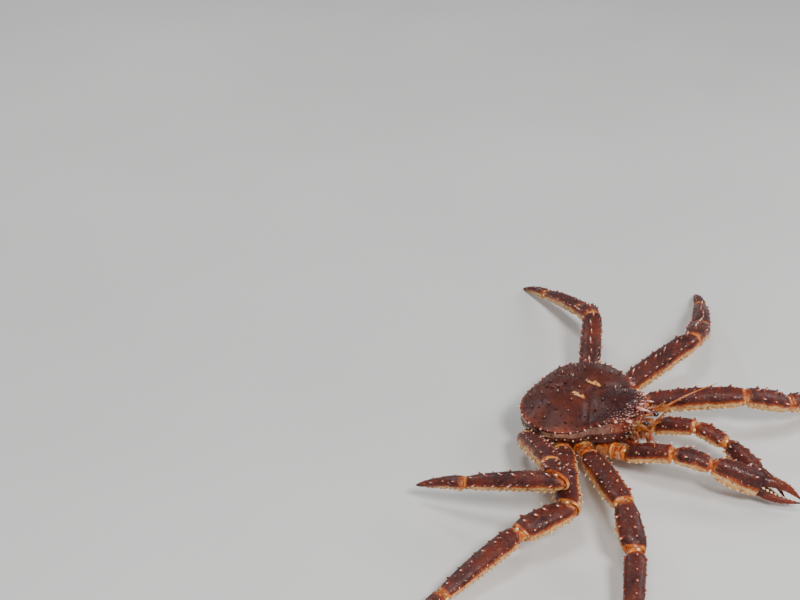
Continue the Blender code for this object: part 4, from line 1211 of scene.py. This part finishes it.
def closed_outline(count):
    """The carapace's outline as equally spaced points, counter-clockwise from the front."""
    half = [Vector((x * HALF_WIDTH, y * (-FRONT_Y if y < 0 else REAR_Y))) for x, y in HALF_OUTLINE]
    knots = half + [Vector((0, REAR_Y))] + [Vector((-p.x, p.y)) for p in reversed(half)]
    per_gap = 12
    fine = []
    for i in range(len(knots)):
        around = [knots[(i + k - 1) % len(knots)] for k in range(4)]
        fine += [curve_point(*around, step / per_gap) for step in range(per_gap)]
    lengths = [0.0]
    for a, b in zip(fine, fine[1:] + fine[:1]):
        lengths.append(lengths[-1] + (b - a).length)
    even = []
    at = 0
    for i in range(count):
        goal = lengths[-1] * i / count
        while lengths[at + 1] < goal:
            at += 1
        part = (goal - lengths[at]) / (lengths[at + 1] - lengths[at])
        even.append(fine[at].lerp(fine[(at + 1) % len(fine)], part))
    return even


def margin_share(x, y, outline):
    """How far a point lies from the middle of the carapace: 0 there and 1 on its margin."""
    ray = Vector((x, y)) - CENTRE
    if ray.length < 1e-6:
        return 0.0
    for a, b in zip(outline, outline[1:] + outline[:1]):
        edge = b - a
        cross = ray.x * edge.y - ray.y * edge.x
        if abs(cross) < 1e-12:
            continue
        start = a - CENTRE
        reach = (start.x * edge.y - start.y * edge.x) / cross
        along = (start.x * ray.y - start.y * ray.x) / cross
        if reach > 0 and -1e-6 <= along <= 1 + 1e-6:
            return 1 / reach
    return 1.0


def groove(x, y):
    """Depth of the grooves between stomach, heart and gill regions, from 0 to 1."""
    width = abs(x)
    neck = y - NECK_Y + NECK_SLANT * width
    beside = width - BESIDE_X - BESIDE_SLANT * (y - BESIDE_Y)
    behind = 1 / (1 + exp((BESIDE_START[0] - y) / BESIDE_START[1]))
    before_rear = 1 / (1 + exp((y - BESIDE_END[0]) / BESIDE_END[1]))
    across = exp(-(neck / GROOVE_REACH) ** 2)
    along = exp(-(beside / GROOVE_REACH) ** 2) * behind * before_rear
    return across + along - across * along


def margin_z(y):
    """Height of the carapace's margin at a place along the body."""
    part = clamped((LIFT_Y[0] - y) / (LIFT_Y[0] - LIFT_Y[1]))
    return MARGIN_Z + FRONT_LIFT * part * part * (3 - 2 * part)


def shell_z(x, y, share):
    """Height of the carapace at a point whose share of the way to the margin is known."""
    share = min(share, 1.0)
    rise = DOME_RISE * (1 - share ** 2.2) ** 0.9
    fade = 1 - share ** 5
    lobes = 0.0
    for across, along, reach_x, reach_y, height in LOBES:
        lobes += height * exp(-((x - across) / reach_x) ** 2 - ((y - along) / reach_y) ** 2)
    return margin_z(y) + rise + fade * (lobes - GROOVE_DEPTH * groove(x, y))


def shell_point(x, y, outline):
    """A point of the carapace above (x, y) and the way its surface faces there."""
    step = 0.002
    height, east, north, west, south = (
        shell_z(x + dx, y + dy, margin_share(x + dx, y + dy, outline))
        for dx, dy in ((0, 0), (step, 0), (0, step), (-step, 0), (0, -step)))
    return vec(x, y, height), unit(west - east, south - north, 2 * step)


def back_spots(outline):
    """Places and relative sizes of the large spines on the back, as in the solids."""
    spots = [(0.0105 + 0.0030 * k, -0.066 + 0.0155 * k, 1.15) for k in range(3)]
    spots += [(0.0085 + 0.0010 * k, 0.006 + 0.0210 * k, 1.0) for k in range(3)]
    spots += [(0.030, -0.050, 0.9), (0.034, -0.034, 0.9)]
    for share, count in GILL_RINGS:
        for k in range(count):
            angle = radians(GILL_ANGLES[0] + (GILL_ANGLES[1] - GILL_ANGLES[0]) * (k + 0.5) / count)
            ray = Vector((cos(angle), sin(angle)))
            probe = CENTRE + ray * 0.01
            reach = share * 0.01 / margin_share(probe.x, probe.y, outline)
            spots.append((CENTRE.x + ray.x * reach, CENTRE.y + ray.y * reach, 1.0))
    return spots


def small_spots(rng, outline, roots):
    """Places of small spines strewn between the large ones, clear of these and of each other."""
    spots = []
    while len(spots) < SMALL_SPINES:
        x = rng.uniform(0.003, 0.084)
        y = rng.uniform(-0.074, 0.066)
        share = margin_share(x, y, outline)
        spaced = all(hypot(x - a, y - b) > 0.0085 for a, b in spots)
        clear = all(hypot(x - root[0], y - root[1]) > 0.0075 for root in roots)
        if rng.random() < 0.002:
            break
        if share < 0.93 and spaced and clear:
            spots.append((x, y))
    return spots


def glint_strength(x, y):
    """Strength of the painted highlight: a golden glint on each side of the middle, along the groove beside
    the heart region.
    """
    width = abs(x)
    along = y - GLINT_TILT * (width - GLINT_X)
    across = width - GLINT_X + GLINT_TILT * y
    return exp(-(along / GLINT_LENGTH) ** 4 - (across / GLINT_WIDTH) ** 2)


def carapace(outline):
    """The shield, its spines, granules and toothed margin."""
    rng = Random(7)
    coarse = closed_outline(SOLID_SIDES)
    spikes = Thorns(Thorns.SPIKE, 10)
    roots = []
    for x, y, scale in back_spots(coarse):
        size = varied(rng, BACK_SPINE * scale)
        for side in (-1, 1):
            base, normal = shell_point(side * x, y, coarse)
            way = (normal + vec(0, -0.15, 0)).normalized()
            spikes.add(base, way, size, size * 0.40, shade=0.5 + 0.4 * rng.random())
            roots.append((*base, size))
    extra = Random(21)
    for x, y in small_spots(extra, coarse, roots):
        size = extra.uniform(0.0018, 0.0032)
        for side in (-1, 1):
            base, normal = shell_point(side * x, y, coarse)
            way = (normal + vec(0, -0.12, 0)).normalized()
            spikes.add(base, way, size, size * 0.55, shade=extra.uniform(0.7, 1))
            roots.append((*base, size * 1.4))
    spikes.piece("carapace_spines", "back_spine", ["carapace"], "carapace")
    shield(outline, roots)
    beads = Thorns(Thorns.DOME, 7)
    grain = Random(5)
    for _ in range(BACK_GRANULES):
        share = grain.random() ** 0.55 * 0.985
        x, y = CENTRE + (outline[grain.randrange(len(outline))] - CENTRE) * share
        base, normal = shell_point(x, y, coarse)
        radius = grain.uniform(0.00035, 0.00080) * (1.25 if share > 0.85 else 1.0)
        beads.add(base, normal, radius, radius, shade=grain.uniform(0.75, 1.0))
    beads.piece("carapace_granules", "back_spine", ["carapace"], "carapace")
    front_thorns(coarse)
    margin(coarse, rng)


def shield(outline, roots):
    """The large plate, raised round the roots of its spines, with its edge rolled in."""
    points = [(CENTRE.x, CENTRE.y, shell_z(CENTRE.x, CENTRE.y, 0.0))]
    values = {"share": [0.0], "groove": [0.0], "painted_glint": [0.0]}
    for k in range(1, FINE_RINGS + 1):
        share = (k / FINE_RINGS) ** 0.80
        for p in outline:
            x, y = CENTRE + (p - CENTRE) * share
            points.append((x, y, shell_z(x, y, share)))
            values["share"].append(share)
            values["groove"].append(groove(x, y) * (1 - share ** 4))
            # Strength of the painted highlight, the golden glints beside the heart region
            values["painted_glint"].append(glint_strength(x, y))
    for scale, drop in EDGE_ROLL:
        points += [(*(CENTRE + (p - CENTRE) * scale), margin_z(p.y) - drop) for p in outline]
    count = len(outline)
    for key, rolled in (("share", 1.0), ("groove", 0.0), ("painted_glint", 0.0)):
        values[key] += [rolled] * (count * len(EDGE_ROLL))
    points = np.array(points)
    swell, values["root"] = swellings(points, roots, 0.10, 0.50)
    points[:, 2] += swell
    body = grid_faces(FINE_RINGS + len(EDGE_ROLL), count)
    del body[-2]
    faces = [(0, 1 + i, 1 + (i + 1) % count) for i in range(count)]
    faces += [tuple(i + 1 for i in face) for face in body]
    piece("carapace_shield", points, faces, "carapace", ["carapace"], values)


def front_thorns(coarse):
    """Short pinkish spines, dense on the front of the shield."""
    rng = Random(83)
    thorns = Thorns(Thorns.SPIKE, 8)
    inner = 0.84
    outer = 0.985
    taken = []
    for _ in range(1500):
        x = rng.uniform(0.004, 0.052)
        y = rng.uniform(-0.084, -0.059)
        share = margin_share(x, y, coarse)
        if not inner < share < outer or any(hypot(x - a, y - b) < 0.0036 for a, b in taken):
            continue
        taken.append((x, y))
        for side in (-1, 1):
            length = rng.uniform(0.0026, 0.0052) * (0.6 + 0.4 * (share - inner) / (outer - inner))
            base, normal = shell_point(side * x, y, coarse)
            way = (normal + vec(side * 0.2, -0.9, 0.1)).normalized()
            thorns.add(base, way, length, length * 0.34, shade=0.6 * rng.random())
    thorns.piece("carapace_front_spines", "face_spine", ["carapace"], "carapace")


def margin(coarse, rng):
    """Large spines round the margin as in the solids, small ones between them, and the beak."""
    spikes = Thorns(Thorns.SPIKE, 9)
    sides = len(coarse)
    half = sides // 2
    filler = Random(3)
    for i in range(4, half + 1):
        if (i - 4) % MARGIN_STEP == 0:
            size = varied(rng, MARGIN_SPINE) * (0.8 if i > half - 5 else 1.0)
        else:
            size = filler.uniform(0.0030, 0.0046)
        for k in {i, sides - i}:
            edge = coarse[k % sides] - CENTRE
            way = (unit(*edge, 0) + vec(0, -0.45, 0.32)).normalized()
            x, y = CENTRE + edge * 0.985
            base = vec(x, y, margin_z(y) - 0.0005)
            spikes.add(base, way, size, size * 0.36, bend=vec(0, -0.08, 0.05), shade=filler.uniform(0, 0.5))
    spikes.piece("carapace_margin_spines", "limb_spine", ["carapace"], "carapace")

    front_z = margin_z(FRONT_Y)
    face = Thorns(Thorns.SPIKE, 12)
    face.add(vec(0, FRONT_Y + 0.010, front_z + 0.0030), unit(0, -1, 0.10), BEAK_LENGTH, BEAK_RADIUS,
             bend=vec(0, 0, 0.08), shade=0.2)
    for side in (-1, 1):
        for x, y, z, way, length, radius in FACE_SPINES:
            base = vec(side * x, FRONT_Y + y, front_z + z)
            face.add(base, mirrored(side, way).normalized(), length, radius)
        for x, y, z, out, rise, length in SMALL_FACE_SPINES:
            base = vec(side * x, FRONT_Y + y, margin_z(FRONT_Y + y) + z)
            face.add(base, unit(side * out, -0.9, rise), length, length * 0.32, shade=0.3)
    face.piece("beak_and_orbit_spines", "face_spine", ["carapace"], "carapace")


def feeler(name, points, radii, node, look, sides, per_gap, ring_every, ring_height):
    """A tapering jointed form along a smooth line of points, with raised rings."""
    last = len(points) - 1
    path = []
    for i in range(last):
        around = [points[min(max(i + k - 1, 0), last)] for k in range(4)]
        for step in range(per_gap):
            t = step / per_gap
            radius = radii[i] + (radii[i + 1] - radii[i]) * t * t * (3 - 2 * t)
            path.append((curve_point(*around, t), radius))
    path.append((points[-1], radii[-1]))
    axis = (path[1][0] - path[0][0]).normalized()
    side = axis.cross(UP).normalized()
    verts = []
    rings = []
    for i, (spot, radius) in enumerate(path):
        new_axis = (path[min(i + 1, len(path) - 1)][0] - path[max(i - 1, 0)][0]).normalized()
        side = turned(side, axis, new_axis)
        axis = new_axis
        up = side.cross(axis)
        in_ring = i % ring_every == 0
        grow = radius * (1 + (ring_height if in_ring else -ring_height * 0.3))
        verts += [spot + side * (grow * cos(turn)) + up * (grow * sin(turn)) for turn in turns(sides)]
        rings += [float(in_ring)] * sides
    tube(name, verts, sides, look, [node], {"ring": rings})


def tuft(name, node, slot, seeds, count, length, spread, pull, seed):
    """Bristles that fan out from a few seed points, each a point and a direction."""
    rng = Random(seed)
    hairs = Thorns(Thorns.HAIR, 4)
    for _ in range(count):
        spot, way = seeds[rng.randrange(len(seeds))]
        way = (way + jitter(rng, spread)).normalized()
        base = spot + jitter(rng, 0.0008)
        hairs.add(base, way, length * rng.uniform(0.6, 1.2), 0.00014, bend=UP * pull, shade=rng.random())
    hairs.piece(name, "bristle", [node], slot)


def along_way(root, reach, *distances):
    return [root + reach * distance for distance in distances]


def eyestalk(side, out):
    """The stalk with two small spines, and a kidney-shaped cornea on its end."""
    root = mirrored(out, EYE_ROOT)
    reach = unit(out * 0.25, -0.88, 0.40)
    end = root + reach * STALK_LENGTH
    node = f"{side}_eyestalk"
    feeler(f"{node}_shell", [*along_way(root, reach, -0.006, 0, 0.005), end],
           (0.0026, 0.0024, 0.0020, 0.0027), node, "face", 16, 8, 40, 0.0)
    across = reach.cross(UP).normalized()
    up = across.cross(reach)
    sides = 28
    rings = 20
    verts = []
    for i in range(rings):
        turn = pi * (0.06 + 0.90 * i / (rings - 1))
        along = 0.0030 - 0.0036 * cos(turn)
        radius = 0.0038 * sin(turn)
        for angle in turns(sides):
            grow = radius * (1 + 0.06 * cos(2 * angle))
            offset = across * (grow * cos(angle)) + up * (grow * sin(angle))
            verts.append(end + reach * (along + GAP) + offset)
    tube(f"{side}_cornea", verts, sides, "eye", [f"{side}_eye"])
    nubs = Thorns(Thorns.SPIKE, 8)
    nubs.add(root + reach * 0.008 + vec(0, 0, 0.0020), unit(0, -0.6, 0.8), 0.0026, 0.0009)
    nubs.add(root + reach * 0.010 + vec(out * 0.001, 0, 0.0022), unit(out * 0.3, -0.6, 0.8), 0.0020, 0.0008)
    nubs.piece(f"{node}_spines", "face_spine", [node], "eyestalk")


def antenna(side, out):
    """Two thick joints with spines and bristles, and a long ringed whip."""
    root = mirrored(out, ANTENNA_ROOT)
    reach = unit(out * 0.30, -0.84, 0.44)
    node = f"{side}_antenna"
    feeler(f"{node}_base", along_way(root, reach, -0.008, 0, 0.006), (0.0044, 0.0040, 0.0030),
           node, "face", 16, 6, 6, 0.10)
    feeler(f"{node}_middle", along_way(root, reach, 0.0052, 0.009, 0.0150), (0.0028, 0.0035, 0.0026),
           node, "face", 16, 6, 6, 0.08)
    points = along_way(root, reach, 0.014, 0.019, 0.024)
    bend = unit(out * 0.45, -0.60, 0.66)
    sag = vec(out * 0.50, -0.10, -0.30)
    for i in range(1, WHIP_RINGS + 1):
        run = WHIP_STEP * i
        points.append(root + reach * 0.024 + bend * run + sag * (run * run / 0.08))
    widths = [0.0026, 0.0026, 0.0021] + [0.0018 - 0.00017 * i for i in range(1, WHIP_RINGS + 1)]
    feeler(f"{node}_whip", points, widths, node, "feeler", 12, 14, 3, 0.10)
    spikes = Thorns(Thorns.SPIKE, 8)
    side_way = reach.cross(UP).normalized()
    for k, (along, turn, length) in enumerate(ANTENNA_SPINES):
        around = side_way * cos(turn) + side_way.cross(reach) * sin(turn)
        base = root + reach * along + around * 0.0030
        spikes.add(base, (around * 0.7 + reach).normalized(), length, length * 0.24, shade=0.25 * (k % 3))
    spikes.piece(f"{node}_spines", "face_spine", [node], "feeler")
    high = (reach + UP * 0.5).normalized()
    wide = (reach + vec(out * 0.8, 0, 0.1)).normalized()
    seeds = [(root + reach * (0.010 + 0.004 * k) + UP * 0.0014, high) for k in range(4)]
    seeds += [(root + reach * 0.008 * k + vec(out * 0.002, 0, 0), wide) for k in range(3)]
    tuft(f"{node}_bristles", node, "feeler", seeds, 340, 0.0085, 0.38, 0.12, 40 + out)


def antennule(side, out):
    """A short stem that ends in a whip, a small branch and bristles."""
    root = mirrored(out, ANTENNULE_ROOT)
    reach = unit(out * 0.20, -0.95, 0.02)
    node = f"{side}_antennule"
    feeler(f"{node}_stem", along_way(root, reach, -0.006, 0, 0.009, 0.017), (0.0022, 0.0020, 0.0018, 0.0015),
           node, "face", 12, 6, 6, 0.10)
    tip = root + reach * 0.0165
    upper = [tip + vec(out * 0.002, -0.002, 0.0045) * i for i in range(5)]
    feeler(f"{node}_whip", upper, (0.0015, 0.0014, 0.0013, 0.0010, 0.0005),
           node, "feeler", 10, 10, 2, 0.14)
    lower = [tip + vec(out * 0.0018, -0.0036, 0.0022) * i for i in range(3)]
    feeler(f"{node}_branch", lower, (0.0010, 0.0007, 0.0003), node, "feeler", 8, 8, 2, 0.12)
    seeds = [(spot, unit(0, -1, 0.1)) for spot in upper[1:]]
    tuft(f"{node}_bristles", node, "feeler", seeds, 110, 0.0044, 0.24, -0.1, 50 + out)


def mouth_parts(side, out):
    """Three small bristly palps between the antennules and the mouth leg."""
    seeds = []
    for k in range(3):
        root = vec(out * (0.0040 + 0.0052 * k), -0.0760 + 0.0015 * k, 0.0520 - 0.0040 * k)
        bend = root + vec(out * 0.001, -0.0125 + 0.002 * k, 0.0010)
        tip = bend + vec(-out * 0.0015, -0.0010, -0.0130 + 0.001 * k)
        middle = (bend + tip) / 2 + vec(0, -0.0016, 0)
        feeler(f"{side}_mouth_palp_{k + 1}", [root, bend, middle, tip], (0.0030, 0.0027, 0.0024, 0.0009),
               "thorax", "face", 14, 7, 7, 0.07)
        seeds += [(bend.lerp(tip, 0.25 * step), unit(-out * 0.1, -0.9, -0.6)) for step in range(1, 5)]
    tuft(f"{side}_mouth_palp_bristles", "thorax", "thorax", seeds, 260, 0.0060, 0.30, -0.15, 70 + out)


def mouth_leg(side, out):
    """A stout bristly leg that reaches ahead and folds down in front of the mouth."""
    root = mirrored(out, MOUTH_ROOT)
    reach = unit(out * 0.15, -0.95, 0.05)
    node = f"{side}_mouth_leg"
    elbow = root + reach * 0.021
    feeler(f"{node}_upper", [*along_way(root, reach, -0.008, 0, 0.012), elbow],
           (0.0040, 0.0046, 0.0046, 0.0034), node, "face", 18, 7, 7, 0.05)
    lower = [elbow + mirrored(out, spot) for spot in ((0, 0.0005, 0.0015), (-0.001, -0.004, -0.004),
                                                      (-0.002, -0.004, -0.011), (-0.003, -0.001, -0.018))]
    feeler(f"{node}_lower", lower, (0.0036, 0.0036, 0.0028, 0.0010), node, "face", 18, 8, 8, 0.06)
    seeds = [(root + reach * (0.004 * k) + vec(0, 0, -0.0035), unit(0, -0.5, -0.8)) for k in range(6)]
    seeds += [(spot + vec(0, -0.002, 0), unit(-out * 0.2, -0.9, -0.5)) for spot in lower[1:]]
    tuft(f"{node}_bristles", node, "limb", seeds, 260, 0.0060, 0.28, -0.12, 60 + out)


def hip_lift(point, hips):
    """How high the side wall must end at a point of the outline to clear the hips below it."""
    lift = 0.0
    for segment in hips:
        flat_start = segment.start.xy
        flat_axis = segment.axis.xy
        along = (point - flat_start).dot(flat_axis) / flat_axis.length_squared
        beside = (point - flat_start - flat_axis * along).length
        half = segment.size[0] * 1.25
        if 0 < along < 0.12 and beside < half:
            height = segment.size[1] * 1.06 * sqrt(1 - (beside / half) ** 2)
            lift = max(lift, segment.start.z + segment.axis.z * along + height)
    return lift


def wall_height(z, low, y):
    """A level of the side wall, lowered to its end over the hips and raised with the margin."""
    lowered = clamped((WALL_LOWERED_BELOW - z) / (WALL_LOWERED_BELOW - WALL_END))
    raised = clamped((z - WALL_RAISED[0]) / (WALL_RAISED[1] - WALL_RAISED[0]))
    return z + (low - WALL_END) * lowered + (margin_z(y) - MARGIN_Z) * raised


def wall_spot(outline, ends, i, scale, z):
    """A point of the side wall at a place of the outline, and the way out from the body there."""
    x, y = CENTRE + (outline[i] - CENTRE) * scale
    return vec(x, y, wall_height(z, ends[i], outline[i].y)), unit(*(outline[i] - CENTRE), 0)


def body_wall(outline, hips):
    """The side wall from the carapace's margin down and in to the hips."""
    lowest = []
    for p in outline:
        low = max(WALL_END, min(hip_lift(CENTRE + (p - CENTRE) * 0.95, hips) + 0.0010, HIP_TOP))
        inside = OPENING_HALF - abs(p.x)
        if p.y > OPENING_Y and inside > 0:
            low = max(low, WALL_END + OPENING_RISE * min(1.0, inside / OPENING_SLOPE))
        lowest.append(low)
    count = len(outline)
    ends = [sum(lowest[(i + k) % count] for k in range(-4, 5)) / 9 for i in range(count)]
    points = []
    band = []
    for scale, z, share in WALL_LEVELS:
        points += [wall_spot(outline, ends, i, scale, z)[0] for i in range(count)]
        band += [share] * count
    tube("body_side_wall", points, count, "wall", ["thorax"], {"band": band})
    wall_thorns(outline, ends)
    beads = Thorns(Thorns.DOME, 8)
    rng = Random(12)
    for i in range(0, count, 8):
        spot, out = wall_spot(outline, ends, i, 0.986, 0.0472)
        size = 0.0012 * rng.uniform(0.8, 1.2)
        beads.add(spot, out, size, size)
    beads.piece("body_side_wall_beads", "tooth_spine", ["thorax"], "thorax")


def wall_thorns(outline, ends):
    """Granules over the side wall, and short spines where it passes under the face."""
    rng = Random(29)
    grains = Thorns(Thorns.DOME, 6)
    thorns = Thorns(Thorns.SPIKE, 8)
    scales, heights, _ = zip(*reversed(WALL_LEVELS[1:12]))
    for _ in range(1500):
        i = rng.randrange(len(outline))
        z = rng.uniform(0.0430, 0.0600)
        spot, out = wall_spot(outline, ends, i, float(np.interp(z, heights, scales)), z)
        near_face = clamped((-0.045 - outline[i].y) / 0.030)
        if rng.random() < 0.45 * near_face and z > 0.0465:
            length = rng.uniform(0.0016, 0.0038)
            way = (out + vec(0, -0.5, 0.25)).normalized()
            thorns.add(spot, way, length, length * 0.36, shade=0.6 * rng.random())
        elif rng.random() < 0.5:
            radius = rng.uniform(0.0003, 0.0007)
            grains.add(spot, out, radius, radius, shade=rng.uniform(0.4, 1.0))
    grains.piece("side_wall_granules", "wall_grain", ["thorax"], "thorax")
    thorns.piece("side_wall_spines", "face_spine", ["thorax"], "thorax")


def breast():
    """The column under the shield that carries the limbs and the mouth."""
    outline = closed_outline(160)
    steps = 30
    power = 2.6
    points = []
    seam = []
    for i in range(steps + 1):
        share = i / steps
        z, half_width, front, rear = eased(BREAST_LEVELS, share)
        for p in outline:
            ray = (p - CENTRE).normalized()
            depth = front if ray.y < 0 else rear
            reach = (abs(ray.x / half_width) ** power + abs(ray.y / depth) ** power) ** (-1 / power)
            fold = 0.5 + 0.5 * sin(2 * pi * (CENTRE.y + ray.y * reach + 0.03) / 0.030)
            reach *= 1 - 0.020 * (1 - fold) ** 3 * (0.3 + share)
            points.append((CENTRE.x + ray.x * reach, CENTRE.y + ray.y * reach, z))
            seam.append((1 - fold) ** 4)
    tube("breast_plates", points, len(outline), "belly", ["thorax"], {"seam": seam})


def tail():
    """The tail folded under the body, in lumpy plates."""
    half = BELLY_THICKNESS / 2
    steps = 84
    sides = 56
    points = []
    lump = []
    seam = []
    rng = Random(17)
    lumps = [(rng.random(), rng.uniform(-1, 1), rng.uniform(0.5, 1.5)) for _ in range(LUMPS)]
    for i in range(steps + 1):
        share = i / steps
        y, z, wide = eased(TAIL_PATH, share)
        ahead = eased(TAIL_PATH, min(share + 0.01, 1.0))
        behind = eased(TAIL_PATH, max(share - 0.01, 0.0))
        along = unit(0, ahead[0] - behind[0], ahead[1] - behind[1])
        outward = vec(0, along.z, -along.y)
        if outward.y < 0 and share < 0.4:
            outward = -outward
        for angle in turns(sides):
            x, depth = superellipse(angle, wide, half)
            outside = depth > 0
            arched = share + PLATE_ARCH * (x / wide) ** 2
            plate = abs(sin(pi * arched * PLATES + 0.25 * sin(9 * x / wide + 5 * share)))
            dip = SEAM_DEPTH * (1 - plate) ** 4
            raised = 0.0
            if outside:
                for place, across, size in lumps:
                    gap = hypot((share - place) * TAIL_LENGTH, x - across * wide * 0.85)
                    raised += exp(-(gap / (LUMP_REACH * size)) ** 2)
            raised = min(raised, 1.0)
            depth -= dip if outside else -dip
            if outside and share < LUMPY_SHARE:
                depth += LUMP_HEIGHT * raised + CREST_HEIGHT * plate
            points.append(vec(x, y, z) + outward * depth)
            lump.append(raised)
            seam.append((1 - plate) ** 4)
    tube("folded_tail", points, sides, "belly", ["abdomen"], {"lump": lump, "seam": seam})


def put_light(light, place):
    """A lamp at a place, turned to the crab."""
    lamp = bpy.data.objects.new(light.name, light)
    lamp.location = place
    lamp.rotation_euler = (LIT_SPOT - Vector(place)).to_track_quat("-Z", "Y").to_euler()
    bpy.context.scene.collection.objects.link(lamp)


def studio():
    """A pale floor, a pale surround and large soft lights."""
    bpy.ops.mesh.primitive_plane_add(size=FLOOR_SIZE, location=(0, 0, 0))
    floor = bpy.context.object
    floor.name = "studio_floor"
    floor.data.materials.append(floor_look())
    for name, place, size, power in SOFT_LIGHTS:
        light = bpy.data.lights.new(name, "AREA")
        light.energy = power
        light.size = size
        put_light(light, place)
    sky = bpy.data.lights.new("overhead", "SUN")
    sky.energy = SKY_POWER
    sky.angle = SKY_ANGLE
    put_light(sky, SKY_PLACE)
    world = bpy.data.worlds.new("studio")
    bpy.context.scene.world = world
    world.use_nodes = True
    back = world.node_tree.nodes["Background"]
    back.inputs["Color"].default_value = SURROUND
    back.inputs["Strength"].default_value = SURROUND_POWER


def camera():
    """The photograph's view: level horizon, with the body's middle at its pixel."""
    width, height = FRAME
    focal = LENS / SENSOR * width
    level = cos(VIEW_ELEVATION)
    back = vec(sin(VIEW_AZIMUTH) * level, -cos(VIEW_AZIMUTH) * level, sin(VIEW_ELEVATION))
    dx = TARGET_PIXEL[0] - width / 2
    dy = TARGET_PIXEL[1] - height / 2
    norm = sqrt(dx * dx + dy * dy + focal * focal)
    pitch = asin(norm * sin(VIEW_ELEVATION) / hypot(focal, dy)) - atan2(dy, focal)
    ahead = focal * cos(pitch) - dy * sin(pitch)
    yaw = atan2(-back.y, -back.x) + atan2(dx, ahead)
    heading = vec(cos(yaw), sin(yaw), 0)
    forward = heading * cos(pitch) - UP * sin(pitch)
    up = heading * sin(pitch) + UP * cos(pitch)
    made = bpy.data.cameras.new("view")
    made.lens = LENS
    made.sensor_width = SENSOR
    made.clip_start = 0.01
    thing = bpy.data.objects.new("view", made)
    turn = Matrix((forward.cross(up), up, -forward)).transposed().to_4x4()
    thing.matrix_world = Matrix.Translation(VIEW_TARGET + back * VIEW_DISTANCE) @ turn
    bpy.context.scene.collection.objects.link(thing)
    bpy.context.scene.camera = thing


def hips_of_body():
    """The first segment of every limb, for the wall that arches over it."""
    found = []
    for side in ("right", "left"):
        for number in ROOTS:
            start, end = limb_joints(side, number)[:2]
            axis = (end - start).normalized()
            across = axis.cross(UP).normalized()
            up = across.cross(axis)
            found.append(Segment(start, end, across, up, axis, axis, HIP_PROFILE, HIP_SIZE, 0, GAP))
    return found


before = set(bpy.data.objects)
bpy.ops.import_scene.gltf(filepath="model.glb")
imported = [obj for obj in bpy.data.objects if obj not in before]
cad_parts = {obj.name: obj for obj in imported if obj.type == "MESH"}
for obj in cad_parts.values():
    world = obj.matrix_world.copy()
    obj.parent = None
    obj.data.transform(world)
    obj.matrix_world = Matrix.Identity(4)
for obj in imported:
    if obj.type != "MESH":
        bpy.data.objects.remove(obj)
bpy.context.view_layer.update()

camera()
studio()
rim = closed_outline(FINE_SIDES)
carapace(rim)
body_wall(rim, hips_of_body())
breast()
tail()
for flank, way_out in (("left", 1), ("right", -1)):
    eyestalk(flank, way_out)
    antenna(flank, way_out)
    antennule(flank, way_out)
    mouth_parts(flank, way_out)
    mouth_leg(flank, way_out)
for flank in ("right", "left"):
    claw_leg(flank)
    for leg in WALKING:
        walking_leg(flank, leg)
